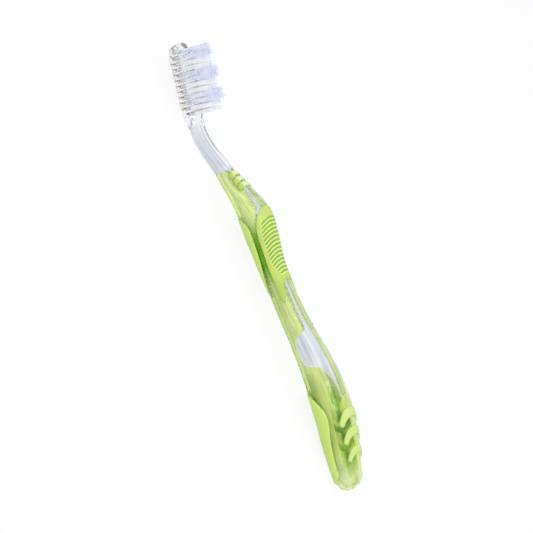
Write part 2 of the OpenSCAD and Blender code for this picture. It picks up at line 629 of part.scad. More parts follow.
clear_core();
handle_sleeve();
neck_ribs();
thumb_grip();
upper_back_grip();
lower_back_grip();
crescent_grip_1();
crescent_grip_2();
crescent_grip_3();
grip_runner();
tuft_anchors();
tuft_row_01();
tuft_row_02();
tuft_row_03();
tuft_row_04();
tuft_row_05();
tuft_row_06();
tuft_row_07();
tuft_row_08();
tuft_row_09();
tuft_row_10();
tuft_row_11();
tuft_row_12();
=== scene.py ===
import math

import bmesh
import bpy
import numpy as np
from mathutils import Matrix, Vector
from mathutils.kdtree import KDTree


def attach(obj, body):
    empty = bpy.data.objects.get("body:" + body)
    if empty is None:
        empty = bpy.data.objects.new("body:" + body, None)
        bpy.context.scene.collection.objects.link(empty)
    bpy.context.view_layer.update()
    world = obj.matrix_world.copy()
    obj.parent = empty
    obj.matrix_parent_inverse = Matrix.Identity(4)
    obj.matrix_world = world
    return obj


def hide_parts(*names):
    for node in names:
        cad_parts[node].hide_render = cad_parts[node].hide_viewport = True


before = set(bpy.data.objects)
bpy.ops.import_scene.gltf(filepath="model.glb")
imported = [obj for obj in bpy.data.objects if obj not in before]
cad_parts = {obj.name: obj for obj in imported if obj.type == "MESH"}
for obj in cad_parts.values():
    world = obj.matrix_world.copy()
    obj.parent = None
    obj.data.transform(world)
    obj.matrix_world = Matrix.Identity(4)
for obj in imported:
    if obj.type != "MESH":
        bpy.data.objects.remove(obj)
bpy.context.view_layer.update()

# A manual toothbrush on its back: +X runs to the head's tip, +Z to the bristles. Lengths are in
# millimetres, as in the part's source, and MM turns them into metres. A place, u, is the distance
# from the tail. An angle, rel, goes round from the front or back line, and off is a height above
# the skin.
MM = 0.001
HANDLE, NECK, HEAD = 136.0, 24.0, 30.0
BRUSH = HANDLE + NECK + HEAD
COLLAR, HEEL = HANDLE, HANDLE + NECK
WIDTH, DEPTH, RISE = 15.2, 15.0, 9.3
NECK_WIDTH, NECK_DEPTH, NECK_FLAT = 6.0, 5.8, 0.2
HEAD_WIDTH, HEAD_THICK, TILT = 11.3, 5.2, math.radians(11.2)
TAIL_ROUND, TIP_ROUND, TIP_EDGE = 5.6, 6.4, 2.2
WALL, GAP, RECESS = 1.5, 0.05, 0.15
REST_Z = NECK_DEPTH / 2 - NECK_FLAT
HEEL_SHARE = 0.075
HEEL_Z = REST_Z + HEEL_SHARE * RISE
FRONT, BACK = 90.0, 270.0
# Half width that no point passes, and the sleeve's height above the table
HALF_WIDTH, SLEEVE_LOW = 7.953, 0.06

# Master surface. A station is shares of the length, rise, depth and width, or in the head of the
# length and width.
HANDLE_SHARES = [
    (0, 0.2, 0.72, 0.72), (0.044, 0.27, 0.76, 0.77), (0.103, 0.465, 0.9, 0.89),
    (0.162, 0.645, 0.975, 0.965), (0.22, 0.82, 1, 1), (0.28, 0.905, 0.985, 0.99),
    (0.338, 0.965, 0.94, 0.95), (0.397, 0.95, 0.87, 0.88), (0.456, 0.895, 0.78, 0.8),
    (0.515, 0.82, 0.7, 0.72), (0.574, 0.785, 0.665, 0.68), (0.632, 0.783, 0.65, 0.665),
    (0.69, 0.8, 0.685, 0.69), (0.75, 0.885, 0.76, 0.76), (0.794, 0.95, 0.825, 0.83),
    (0.83, 1, 0.845, 0.845), (0.868, 0.975, 0.81, 0.81), (0.897, 0.885, 0.73, 0.73),
    (0.926, 0.755, 0.645, 0.64), (0.963, 0.58, 0.555, 0.55), (1, 0.43, 0.48, 0.475)]
NECK_SHARES = [
    (0.17, 0.31, 1.14, 1.13), (0.34, 0.17, 1.09, 1.09), (0.52, 0.055, 1.03, 1.03),
    (0.7, 0, 1, 1), (0.86, 0.02, 0.98, 1.06)]
HEAD_SHARES = [(0, 0.72), (0.08, 0.86), (0.17, 0.96), (0.3, 1), (0.6, 1), (1, 1)]
HANDLE_SQUARE, NECK_SQUARE, HEAD_SQUARE = 2.3, 2.8, 4.4
SPINE = np.array(
    [(s[0] * HANDLE, REST_Z + s[1] * RISE, s[2] * DEPTH / 2, s[3] * WIDTH / 2, HANDLE_SQUARE)
     for s in HANDLE_SHARES]
    + [(COLLAR + s[0] * NECK, REST_Z + s[1] * RISE, s[2] * NECK_DEPTH / 2,
        s[3] * NECK_WIDTH / 2, NECK_SQUARE) for s in NECK_SHARES]
    + [(HEEL + s[0] * HEAD, HEEL_Z + s[0] * HEAD * math.tan(TILT),
        HEAD_THICK / math.cos(TILT) / 2, s[1] * HEAD_WIDTH / 2, HEAD_SQUARE)
       for s in HEAD_SHARES])
CENTRE, HALF_DEEP, HALF_WIDE, SQUARENESS = 1, 2, 3, 4
LAST = len(SPINE) - 1
SLOPES = np.array([
    (SPINE[min(i + 1, LAST)] - SPINE[max(i - 1, 0)])
    / (SPINE[min(i + 1, LAST), 0] - SPINE[max(i - 1, 0), 0]) for i in range(LAST + 1)])


def hermite(t, h, start, end, slope_start, slope_end):
    """Cubic curve from start to end over the step h, at the share t of that step."""
    return (start * (2 * t**3 - 3 * t**2 + 1) + slope_start * h * (t**3 - 2 * t**2 + t)
            + end * (3 * t**2 - 2 * t**3) + slope_end * h * (t**3 - t**2))


def at(u, c):
    """Column c of the spine at place u."""
    u = np.asarray(u, float)
    i = np.clip(np.searchsorted(SPINE[:, 0], u, side="right") - 1, 0, LAST - 1)
    h = SPINE[i + 1, 0] - SPINE[i, 0]
    t = (u - SPINE[i, 0]) / h
    return hermite(t, h, SPINE[i, c], SPINE[i + 1, c], SLOPES[i, c], SLOPES[i + 1, c])


def rounded(d, r, p):
    """Rounding of an end: 0 at the end, 1 from the length r on."""
    s = np.clip((r - np.asarray(d, float)) / r, 0, 1)
    return (1 - s**p) ** (1 / p)


def signed_power(v, e):
    """The power e of the size of v, with the sign of v."""
    return np.sign(v) * np.abs(v) ** e


def surf(u, ang, off):
    """Points at place u, at angle ang from the side toward the front, at height off."""
    u, ang, off = np.broadcast_arrays(*(np.asarray(v, float) for v in (u, ang, off)))
    a = np.radians(ang)
    e = 2 / at(u, SQUARENESS)
    tail = rounded(u + off, TAIL_ROUND + off, 2)
    deep = (at(u, HALF_DEEP) + off) * tail * rounded(BRUSH - u, TIP_EDGE, 3)
    wide = (at(u, HALF_WIDE) + off) * tail * rounded(BRUSH - u, TIP_ROUND, 2)
    return np.stack([u - BRUSH / 2, wide * signed_power(np.cos(a), e),
                     at(u, CENTRE) + deep * signed_power(np.sin(a), e)], -1)


def pole(u):
    """The point on the brush's middle at place u."""
    return np.array([u - BRUSH / 2, 0, float(at(u, CENTRE))])


# Front seat of the core in the tail, on which the runner lies
SEAT_AT, SEAT_SHARE, SEAT_TILT = 39.0, 1.26, math.radians(12.6)
SEAT_Z = REST_Z + SEAT_SHARE * RISE


def seat_level(u):
    """Height of the front seat at place u."""
    return SEAT_Z + (u - SEAT_AT) * math.tan(SEAT_TILT)


def seated(points, off):
    """The points held down to the front seat of the core in the tail."""
    p = points.copy()
    p[..., 2] = np.minimum(p[..., 2], seat_level(p[..., 0] + BRUSH / 2) + off)
    return p


# Outlines on the skin
ARC_PER_DEGREE, LEAST_ANGLE, FAR_AWAY = 0.13, 0.3, 9.0


def smooth_rows(t, count):
    """A smooth curve through stations t of (place, half angle), as rows with rising place."""
    d = np.r_[0, np.cumsum(np.hypot(np.diff(t[:, 0]), np.diff(t[:, 1]) * ARC_PER_DEGREE))]
    s = np.linspace(0, d[-1], count)
    i = np.clip(np.searchsorted(d, s, side="right") - 1, 0, len(t) - 2)
    h = (d[i + 1] - d[i])[:, None]
    f = ((s - d[i]) / h[:, 0])[:, None]
    last = len(t) - 1
    m = np.array([(t[min(k + 1, last)] - t[max(k - 1, 0)]) / (d[min(k + 1, last)] - d[max(k - 1, 0)])
                  for k in range(len(t))])
    out = hermite(f, h, t[i], t[i + 1], m[i], m[i + 1])
    out[:, 0] = np.maximum.accumulate(out[:, 0] + np.arange(count) * 1e-6)
    out[:, 1] = np.maximum(out[:, 1], LEAST_ANGLE)
    return out


def edge_distance(u, ang, lines):
    """Distance on the unrolled skin from each point to the nearest outline."""
    r = math.radians(1) * at(u, HALF_WIDE)
    p = np.stack([u, ang * r], -1).reshape(-1, 2)
    best = np.full(len(p), 1e9)
    for line in lines:
        q = np.stack([line[:, 0], line[:, 1] * math.radians(1) * at(line[:, 0], HALF_WIDE)], -1)
        a, b = q[:-1], q[1:]
        for k in range(len(a)):
            ab = b[k] - a[k]
            f = np.clip(((p - a[k]) @ ab) / max(ab @ ab, 1e-12), 0, 1)
            best = np.minimum(best, np.hypot(*(p - a[k] - f[:, None] * ab).T))
    return best.reshape(np.shape(u))


def lip(d, radius):
    """Quarter-round rise from 0 at the edge to 1 at the radius."""
    return np.sqrt(1 - (1 - np.clip(d / radius, 0, 1)) ** 2)


def spread(n, sharpness=0.55):
    """Numbers from -1 to 1, closer together toward both ends."""
    s = np.linspace(-1, 1, n)
    return (1 - sharpness) * s + sharpness * np.sin(s * math.pi / 2)


def rise(x, start, length):
    """A ramp from 0 at start to 1 a length further on, which may be negative."""
    return np.clip((x - start) / length, 0, 1)


def graded(x, stops):
    """The value at x on straight lines through (x, value) stops."""
    return np.interp(x, *zip(*stops))


def bell(x, middle, half, power=2):
    """1 in the middle, fading out past half on both sides."""
    return np.exp(-((x - middle) / half) ** power)


# Meshes
WELD, SLIVER = 1e-6, 1e-7
SHARP, CORE_SHARP, THUMB_SHARP, FILAMENT_SHARP = 38, 34, 50, 60


def in_scene(name, data):
    """An object in the scene with its data."""
    obj = bpy.data.objects.new(name, data)
    bpy.context.scene.collection.objects.link(obj)
    return obj


def new_object(name, verts, faces):
    """An object in the scene from points in millimetres."""
    me = bpy.data.meshes.new(name)
    me.from_pydata((verts * MM).tolist(), [], faces)
    return in_scene(name, me)


def add(name, verts, faces, material, slot, nodes, sharp=SHARP, low=0.0):
    """Makes a piece from points in millimetres, welds it and puts it on the body."""
    v = np.array(verts, float)
    v[:, 1] = np.clip(v[:, 1], -HALF_WIDTH, HALF_WIDTH)
    v[:, 2] = np.maximum(v[:, 2], low)
    obj = new_object(name, v, faces)
    bm = bmesh.new()
    bm.from_mesh(obj.data)
    bmesh.ops.remove_doubles(bm, verts=bm.verts, dist=WELD)
    bmesh.ops.dissolve_degenerate(bm, edges=bm.edges, dist=SLIVER)
    bmesh.ops.recalc_face_normals(bm, faces=bm.faces)
    bm.to_mesh(obj.data)
    bm.free()
    finish_piece(obj, material, nodes, sharp)
    return obj


def finish_piece(obj, material, nodes, sharp):
    """Gives a piece its material and puts it on the body in the nodes' place."""
    obj.data.materials.clear()
    obj.data.materials.append(material)
    obj.data.shade_smooth()
    obj.data.set_sharp_from_angle(angle=math.radians(sharp))
    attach(obj, "root")
    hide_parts(*nodes)


def circle(n):
    """Directions to n points of a circle."""
    a = np.linspace(0, 2 * math.pi, n, endpoint=False)
    return np.stack([np.cos(a), np.sin(a)], -1)


def tube(rings, n, base=0):
    """Faces of a wall through rings of n points, the first of them point base."""
    return [(m + i, m + n + i, m + n + (i + 1) % n, m + (i + 1) % n)
            for m in range(base, base + (rings - 1) * n, n) for i in range(n)]


def turned_over(faces):
    """The faces seen from their other side."""
    return [face[:1] + face[:0:-1] for face in faces]


def loft(rings, first, last):
    """Points and faces of a closed solid through rings, with a pole at each end."""
    m, n = rings.shape[:2]
    verts = np.concatenate([rings.reshape(-1, 3), [first, last]])
    faces = tube(m, n)
    for k in range(n):
        faces.append((m * n, k, (k + 1) % n))
        faces.append((m * n + 1, (m - 1) * n + (k + 1) % n, (m - 1) * n + k))
    return verts, faces


def shell(top, low, strips=None, open_rows=None, poles=None):
    """Points and faces of a closed skin between two grids. strips are (first column, last
    column, left wall, right wall), where a wall is "all" or "open", for open_rows alone. The
    poles close both grids' start."""
    m, n = top.shape[:2]
    t = m * n
    verts = [top.reshape(-1, 3), low.reshape(-1, 3)]
    faces = []
    for a, b, left, right in strips or [(0, n - 1, "all", "all")]:
        for i in range(m - 1):
            for j in range(a, b):
                c = (i * n + j, (i + 1) * n + j, (i + 1) * n + j + 1, i * n + j + 1)
                faces.append(c)
                faces.append(tuple(v + t for v in reversed(c)))
            for j, kind in ((a, left), (b, right)):
                if kind == "all" or open_rows[i]:
                    faces.append((i * n + j, (i + 1) * n + j, (i + 1) * n + j + t, i * n + j + t))
        for j in range(a, b):
            e = (m - 1) * n
            faces.append((e + j, e + j + 1, e + j + 1 + t, e + j + t))
            if poles is None:
                faces.append((j, j + 1, j + 1 + t, j + t))
            else:
                faces.append((2 * t, j, j + 1))
                faces.append((2 * t + 1, j + 1 + t, j + t))
    if poles is not None:
        verts.append(np.array(poles))
    return np.concatenate(verts), faces


def paint(obj, name, values):
    """Stores a value at each point of the mesh, for the materials to read."""
    values = np.full(len(obj.data.vertices), values, np.float32)
    obj.data.attributes.new(name, "FLOAT", "POINT").data.foreach_set("value", values)


def near(obj, points, values, base):
    """The values at those points of the mesh, found again after the weld, and base elsewhere."""
    tree = KDTree(len(points))
    for i, point in enumerate(points * MM):
        tree.insert(point, i)
    tree.balance()
    out = np.full(len(obj.data.vertices), base, float)
    for v in obj.data.vertices:
        _, i, gap = tree.find(v.co)
        if gap < WELD:
            out[v.index] = values[i]
    return out


def paint_flow(obj):
    """Stores the space in which the painted reflection streaks run lengthwise. Gives the points'
    places, and their distances across and up from the brush's middle there."""
    flat = np.empty(len(obj.data.vertices) * 3, np.float32)
    obj.data.vertices.foreach_get("co", flat)
    x, y, z = flat.reshape(-1, 3).T.astype(float) / MM
    place = x + BRUSH / 2
    z = z - at(np.clip(place, 0, BRUSH), CENTRE)
    flow = np.stack([x * STREAK_SQUEEZE, y, z], -1).astype(np.float32)
    obj.data.attributes.new("flow", "FLOAT_VECTOR", "POINT").data.foreach_set("vector", flow.ravel())
    return place, y, z


def side_angle(y, z):
    """Angle of each point from the side toward the front, the same on both sides."""
    return np.degrees(np.arctan2(z, np.abs(y)))


# Materials. A grip's shading attribute is PLAIN on smooth rubber, less on ridges, which get a painted
# highlight, and more in grooves, whose floors get painted shade.
PLAIN, STREAK_SQUEEZE, LAMPS_THROUGH_NYLON = 0.2, 0.04, 0.93
FIRST_COLOR, SECOND_COLOR, MIXED_COLOR = 6, 7, 2


def new_material(name):
    """An empty material, its node tree and its output."""
    mat = bpy.data.materials.new(name)
    mat.use_nodes = True
    tree = mat.node_tree
    tree.nodes.clear()
    return mat, tree, tree.nodes.new("ShaderNodeOutputMaterial")


def put(socket, value):
    """Gives an input its value: another node's output, a colour or a number."""
    if isinstance(value, bpy.types.NodeSocket):
        socket.id_data.links.new(value, socket)
    else:
        socket.default_value = (*value, 1) if socket.type == "RGBA" else value


def feed(node, **values):
    """Gives a node's inputs their values, by name."""
    for key, value in values.items():
        put(node.inputs[key.replace("_", " ")], value)
    return node


def new_node(tree, kind, **values):
    """A shader node with values for its inputs."""
    return feed(tree.nodes.new("ShaderNode" + kind), **values)


def principled(tree, color, rough, **sockets):
    """The main surface shader."""
    return new_node(tree, "BsdfPrincipled", Base_Color=color, Roughness=rough, **sockets)


def noise(tree, scale, detail, rough=0.5, stretch=(1, 1, 1)):
    """Noise in the object's own space, where the scale is in waves to a metre."""
    place = new_node(tree, "TexCoord").outputs["Object"]
    place = new_node(tree, "Mapping", Vector=place, Scale=stretch).outputs["Vector"]
    return new_node(tree, "TexNoise", Vector=place, Scale=scale, Detail=detail,
                    Roughness=rough).outputs["Fac"]


def ramp(value, stops):
    """Colours blended along (value, colour) stops."""
    node = new_node(value.id_data, "ValToRGB", Fac=value)
    while len(node.color_ramp.elements) < len(stops):
        node.color_ramp.elements.new(0.5)
    for element, (position, color) in zip(node.color_ramp.elements, stops):
        element.position = position
        element.color = (*color, 1)
    return node.outputs["Color"]


def map_range(value, first, last, low=0.3, high=0.7):
    """The range from low to high stretched to first and last, and held there."""
    return new_node(value.id_data, "MapRange", Value=value, From_Min=low, From_Max=high,
                    To_Min=first, To_Max=last).outputs["Result"]


def bump(height, strength, distance):
    """The surface's direction, tipped by a fine relief."""
    return new_node(height.id_data, "Bump", Height=height, Strength=strength,
                    Distance=distance).outputs["Normal"]


def attribute(tree, name, output="Fac"):
    """A value stored at the points of the mesh."""
    node = new_node(tree, "Attribute")
    node.attribute_name = name
    return node.outputs[output]


def mix_color(share, first, second):
    """The first colour, turned into the second by the share."""
    node = new_node(share.id_data, "Mix", Factor=share)
    node.data_type = "RGBA"
    put(node.inputs[FIRST_COLOR], first)
    put(node.inputs[SECOND_COLOR], second)
    return node.outputs[MIXED_COLOR]


def mix_shaders(tree, share, first, second):
    """The first shader, turned into the second by the share."""
    node = new_node(tree, "MixShader", Fac=share)
    put(node.inputs[1], first)
    put(node.inputs[2], second)
    return node.outputs["Shader"]


def calculate(tree, operation, first, second):
    """The result of a math node."""
    node = new_node(tree, "Math")
    node.operation = operation
    put(node.inputs[0], first)
    put(node.inputs[1], second)
    return node.outputs[0]


def lamps_through(tree, shader, share, color):
    """The shader, with that share of the lamps' light let through in that colour."""
    share = calculate(tree, "MULTIPLY", new_node(tree, "LightPath").outputs["Is Shadow Ray"], share)
    return mix_shaders(tree, share, shader, new_node(tree, "BsdfTransparent", Color=color).outputs[0])


def seen_ray(tree):
    """1 for rays that the camera sees, also in a reflection or through something clear."""
    path = new_node(tree, "LightPath")
    value = path.outputs["Is Camera Ray"]
    for kind in ("Is Transmission Ray", "Is Glossy Ray"):
        value = calculate(tree, "MAXIMUM", value, path.outputs[kind])
    return value


def rubber(name, light, dark, rough=0.38, groove=None):
    """Soft opaque grip: faint mottling, fine grain, a low sheen. The pair given holds the colours of
    the ridges and of the grooves' floors, on the grips a painted highlight and painted shade."""
    mat, tree, out = new_material(name)
    p = principled(tree, light, rough, Subsurface_Weight=0.25, Subsurface_Scale=0.0004,
                   Subsurface_Radius=(0.9, 1.0, 0.25), Specular_IOR_Level=0.3, Sheen_Weight=0.04,
                   Sheen_Roughness=0.5)
    tone = ramp(noise(tree, scale=130, detail=3), [(0.3, dark), (0.7, light)])
    if groove:
        # Painted highlight toward the ridges, painted shade toward the grooves' floors
        ridge, foot = groove
        depth = attribute(tree, "groove")
        tone = mix_color(map_range(depth, 0.0, 1.0, 0.0, PLAIN), ridge, tone)
        tone = mix_color(map_range(depth, 0.0, 1.0, PLAIN, 1.0), tone, foot)
    mottle = map_range(noise(tree, scale=900, detail=2), rough - 0.05, rough + 0.07)
    grain = bump(noise(tree, scale=5200, detail=2), strength=0.12, distance=0.00002)
    feed(p, Base_Color=tone, Roughness=mottle, Normal=grain)
    feed(out, Surface=p.outputs["BSDF"])
    return mat


def clear(name, streaks, scale, ripple, cloudy, marks, ior, absorb, density, shade, coat=0.0,
          tint=None):
    """Transparent plastic, tinted through its thickness, that lets lamps through. Where the attribute
    milk is 1, the share cloudy of it stays transparent. Its colours run in streaks along the brush,
    which are painted reflections, or are tint where there is no milk; each attribute in marks leads
    to its own colour."""
    mat, tree, out = new_material(name)
    p = principled(tree, streaks[1][1], 0.03, Transmission_Weight=1.0, IOR=ior, Coat_Weight=coat,
                   Coat_Roughness=0.06)
    flow = new_node(tree, "TexNoise", Vector=attribute(tree, "flow", "Vector"), Scale=scale,
                    Detail=2.0, Roughness=0.45).outputs["Fac"]
    # Painted reflections: lighter and darker streaks along the brush
    body = ramp(flow, streaks)
    milk = attribute(tree, "milk")
    if tint:
        body = mix_color(milk, tint, body)
    for mark, color in marks:
        body = mix_color(attribute(tree, mark), body, color)
    haze = map_range(noise(tree, scale=240, detail=3), 0.01, 0.06)
    see_through = map_range(milk, 1.0, cloudy, 0.0, 1.0)
    feed(p, Base_Color=body, Roughness=haze, Normal=bump(flow, ripple, 0.0004),
         Transmission_Weight=see_through)
    inside = new_node(tree, "VolumeAbsorption", Color=absorb, Density=density)
    feed(out, Surface=lamps_through(tree, p.outputs["BSDF"], 1.0, shade),
         Volume=inside.outputs["Volume"])
    return mat


def nylon(name, root, tip, speck, spots):
    """Pale translucent nylon, each filament a little different, with spots the strength of its
    flecks."""
    mat, tree, out = new_material(name)
    p = principled(tree, root, 0.3, Specular_IOR_Level=0.5)
    tone = ramp(attribute(tree, "along"), [(0.0, root), (0.6, root), (1.0, tip)])
    tone = mix_color(attribute(tree, "shade"), tone, speck)
    if spots:
        flecks = noise(tree, scale=1500, detail=3, rough=0.6, stretch=(1, 1, 0.6))
        tone = mix_color(map_range(flecks, 0.0, spots, 0.55, 0.63), tone, speck)
    rough = map_range(noise(tree, scale=2500, detail=1), 0.25, 0.42)
    feed(p, Base_Color=tone, Roughness=rough)
    glow = new_node(tree, "BsdfTranslucent", Color=tone)
    surface = mix_shaders(tree, 0.5, p.outputs["BSDF"], glow.outputs["BSDF"])
    feed(out, Surface=lamps_through(tree, surface, LAMPS_THROUGH_NYLON, (1, 1, 1)))
    return mat


def brass(name):
    """Dull rolled metal, a little uneven in tone."""
    mat, tree, out = new_material(name)
    p = principled(tree, (0.35, 0.26, 0.14), 0.3, Metallic=0.8)
    tone = ramp(noise(tree, scale=1500, detail=3),
                [(0.3, (0.26, 0.18, 0.09)), (0.7, (0.46, 0.35, 0.2))])
    rough = map_range(noise(tree, scale=3000, detail=2), 0.22, 0.45)
    feed(p, Base_Color=tone, Roughness=rough)
    feed(out, Surface=p.outputs["BSDF"])
    return mat


# Core marks: patch, deep green, a painted highlight, and painted shade in lines.
MAT_CORE = clear(
    "clear_core", tint=(1, 1, 1),
    streaks=[(0.36, (0.51, 0.54, 0.6)), (0.5, (0.65, 0.68, 0.73)), (0.64, (0.78, 0.8, 0.84))],
    scale=0.55, ripple=0.12, cloudy=0.1,
    marks=[("patch", (0.74, 0.76, 0.7)), ("deep", (0.36, 0.78, 0.02)), ("painted_highlight", (0.96, 0.97, 1)),
           ("line", (0.12, 0.14, 0.2))],
    ior=1.38, absorb=(0.7, 0.73, 0.82), density=15.0, shade=(0.96, 0.965, 0.975))
# Sleeve marks: patch, partly a painted highlight on the windows' rims; deep green, partly painted
# shade toward the back; and painted shade.
MAT_SLEEVE = clear(
    "handle_sleeve",
    streaks=[(0.35, (0.68, 0.79, 0.35)), (0.45, (0.8, 0.88, 0.48)), (0.55, (0.86, 0.92, 0.55)),
             (0.64, (0.97, 0.985, 0.8))],
    scale=0.95, ripple=0.03, cloudy=0.45,
    marks=[("patch", (0.93, 0.96, 0.8)), ("deep", (0.27, 0.55, 0.01)), ("painted_shade", (0.42, 0.44, 0.38))],
    ior=1.12, absorb=(0.86, 0.955, 0.25), density=90.0, shade=(0.94, 0.97, 0.8), coat=0.35)
# The grips' pair: a painted highlight for ridges, painted shade for grooves' floors
GRIP_HIGHLIGHT_AND_SHADE = (0.8, 0.9, 0.5), (0.33, 0.54, 0.0)
RUNNER_GROOVE = (0.3, 0.55, 0.08), (0.08, 0.27, 0.0)
MAT_GRIP = rubber("grip_rubber", (0.64, 0.8, 0.21), (0.59, 0.76, 0.17), groove=GRIP_HIGHLIGHT_AND_SHADE)
MAT_THUMB = rubber("thumb_rubber", (0.58, 0.71, 0.175), (0.54, 0.67, 0.15), groove=GRIP_HIGHLIGHT_AND_SHADE)
MAT_CRESCENT = rubber("crescent_rubber", (0.65, 0.79, 0.26), (0.6, 0.75, 0.21))
MAT_RUNNER = rubber("runner_rubber", (0.22, 0.44, 0.03), (0.17, 0.37, 0.015), rough=0.3,
                    groove=RUNNER_GROOVE)
MAT_BRASS = brass("anchor_brass")
MAT_WHITE = nylon("white_nylon", root=(0.98, 0.98, 0.98), tip=(0.97, 0.975, 0.99),
                  speck=(0.9, 0.91, 0.96), spots=0)
MAT_BLUE = nylon("coloured_nylon", root=(0.975, 0.978, 0.99), tip=(0.965, 0.97, 0.985),
                 speck=(0.47, 0.55, 0.92), spots=0.68)

# Thumb grip's outline. Stations are shares of the handle's length and of the angle.
THUMB_ANGLE = 77.0
THUMB = np.array([
    (0.5815, 0.76), (0.583, 0.86), (0.587, 0.93), (0.6, 0.99), (0.62, 1), (0.64, 1), (0.665, 1),
    (0.69, 1), (0.715, 1), (0.74, 1), (0.765, 0.99), (0.79, 0.98), (0.806, 0.94),
    (0.824, 0.86), (0.838, 0.74), (0.848, 0.6), (0.857, 0.42), (0.862, 0.2), (0.8628, 0.04)
]) * [HANDLE, THUMB_ANGLE]
NOTCH = np.array([
    (0.575, 0.85), (0.588, 0.72), (0.6, 0.62), (0.615, 0.54), (0.63, 0.45), (0.637, 0.32),
    (0.641, 0.18), (0.643, 0.0)]) * [HANDLE, THUMB_ANGLE]
COVER_MARGIN, COVER_SINK = 5, 0.5


def under_thumb(u, rel):
    """Where the thumb grip covers the skin, well inside its outline."""
    outer = np.interp(u, THUMB[:, 0], THUMB[:, 1], left=0, right=0)
    inner = graded(u, NOTCH)
    past_notch = u > NOTCH[-1, 0] + 0.5
    return (rel < outer - COVER_MARGIN) & ((rel > inner + COVER_MARGIN) | past_notch)


# Windows in the sleeve. A station is shares of the handle's length and of the angles to the outer
# edge and the inner one, which in the low window is the bead's edge.
WINDOW_ANGLE, BEAD_SHARE = 98.0, 0.085
WINDOW_LOW_SHARES = [
    (0.268, 0.115), (0.285, 0.125), (0.303, 0.145), (0.326, 0.215), (0.353, 0.37), (0.372, 0.49),
    (0.378, 0.62), (0.383, 0.8), (0.393, 0.94), (0.41, 1), (0.437, 0.99), (0.455, 0.95),
    (0.471, 0.86), (0.479, 0.64), (0.486, 0.39), (0.495, 0.31), (0.535, 0.28), (0.58, 0.26),
    (0.62, 0.245), (0.65, 0.23)]
WINDOW_TOP_SHARES = [
    (0.847, 0.55, 0.42), (0.852, 0.54, 0.35), (0.857, 0.47, 0.26), (0.862, 0.39, 0.21),
    (0.872, 0.36, 0.19), (0.885, 0.335, 0.165), (0.9, 0.31, 0.13), (0.92, 0.285, 0.1),
    (0.94, 0.27, BEAD_SHARE), (0.97, 0.265, BEAD_SHARE), (1.0, 0.265, BEAD_SHARE)]
WINDOWS = [np.array(w) * [HANDLE, WINDOW_ANGLE, WINDOW_ANGLE]
           for w in ([(*s, BEAD_SHARE) for s in WINDOW_LOW_SHARES], WINDOW_TOP_SHARES)]
LEAST_OPENING, END_GAP = 0.2, 0.05
LOW_TURNS, TOP_TURNS = (49.0, 68.5), (114.6, 119.0)
BEAD_RISE, BEAD_DROP, BEAD_END, BEAD_FADE = 0.6, 0.12, 84.3, 3
RIM_DROP, RIM_LIP = 0.22, 0.45
CLOSED_HALF = BEAD_SHARE * WINDOW_ANGLE
SOFTEN = np.linspace(-1, 1, 9) * 0.2
TAIL_ARC = 1 - np.cos(np.linspace(0, math.pi / 2, 15)[1:])


def window_edges(u):
    """Half angles of the windows' outer and inner edges at each place, equal between windows."""
    u = np.asarray(u, float)
    outer = np.full(u.shape, CLOSED_HALF)
    inner = outer.copy()
    for w in WINDOWS:
        here = (u >= w[0, 0]) & (u <= w[-1, 0])
        for edge, column in ((outer, 1), (inner, 2)):
            soft = np.mean([np.interp(u + d, w[:, 0], w[:, column]) for d in SOFTEN], axis=0)
            edge[here] = soft[here]
    return outer, inner


def handle_places():
    """Places along the handle, closer together where a window's edge turns."""
    ends = [place for w in WINDOWS
            for place in (w[0, 0] - END_GAP, w[0, 0], w[-1, 0], w[-1, 0] + END_GAP)]
    fine = np.r_[np.arange(*LOW_TURNS, 0.16), np.arange(*TOP_TURNS, 0.2)]
    coarse = np.r_[np.arange(TAIL_ROUND, LOW_TURNS[0], 0.7),
                   np.arange(LOW_TURNS[1], TOP_TURNS[0], 0.7), np.arange(TOP_TURNS[1], COLLAR, 0.8)]
    places = np.unique(np.r_[coarse, fine, ends, COLLAR])
    return places[places <= COLLAR]


def make_sleeve():
    """The sleeve: the skin round the windows, and the bead between them."""
    u_out = np.r_[TAIL_ROUND * TAIL_ARC, handle_places()[1:]]
    u_in = np.r_[WALL + (TAIL_ROUND - WALL) * TAIL_ARC, handle_places()[1:]]
    t = (spread(101) + 1) / 2
    f = np.linspace(-1, 1, 17)
    outer, inner = (e[:, None] for e in window_edges(u_out))
    around = outer + (360 - 2 * outer) * t[None, :]
    strip = inner * f[None, :]
    rel = np.concatenate([around, strip], 1)
    u = u_out[:, None] + 0 * rel
    rims, beside = [], np.zeros(len(u_out), bool)
    for w in WINDOWS:
        here = u_out[(u_out >= w[0, 0]) & (u_out <= w[-1, 0])]
        rims.append(np.stack([here, window_edges(here)[0]], -1))
        beside |= (u_out > w[0, 0] - 1) & (u_out < w[-1, 0] + 1)
    from_rim = edge_distance(u[:, :len(t)], np.minimum(around, 360 - around), rims)
    from_rim[~beside] = FAR_AWAY
    off_around = -RIM_DROP * (1 - lip(from_rim, RIM_LIP))
    fade = np.clip(np.minimum(u_out - WINDOWS[0][0, 0], BEAD_END - u_out) / BEAD_FADE, 0, 1)
    bead = BEAD_RISE * np.sqrt(fade[:, None]) * (1 - np.abs(f[None, :]) ** 6)
    off = np.concatenate([off_around, bead - BEAD_DROP * (np.abs(f) == 1)], 1)
    covered = under_thumb(u, np.minimum(np.abs(rel), 360 - np.abs(rel)))
    top = surf(u, FRONT + rel, np.where(covered, -COVER_SINK, off))
    low = seated(surf(u_in[:, None], FRONT + rel, -WALL), GAP)
    opened = (outer - inner)[:, 0] > LEAST_OPENING
    n = len(t)
    strips = [(0, n - 1, "open", "open"), (n, n + len(f) - 1, "open", "open")]
    skin = shell(top, low, strips, opened[:-1] & opened[1:], (pole(0), pole(WALL)))
    sleeve = add("sleeve_translucent", *skin, MAT_SLEEVE, "handle_sleeve", ["handle_sleeve"],
                 low=SLEEVE_LOW)
    # A painted highlight on the skin along the windows' rims
    rim_highlight = np.concatenate([rise(from_rim, 1.0, -0.4), 0 * strip], 1)
    paint_sleeve(sleeve, top, rim_highlight)


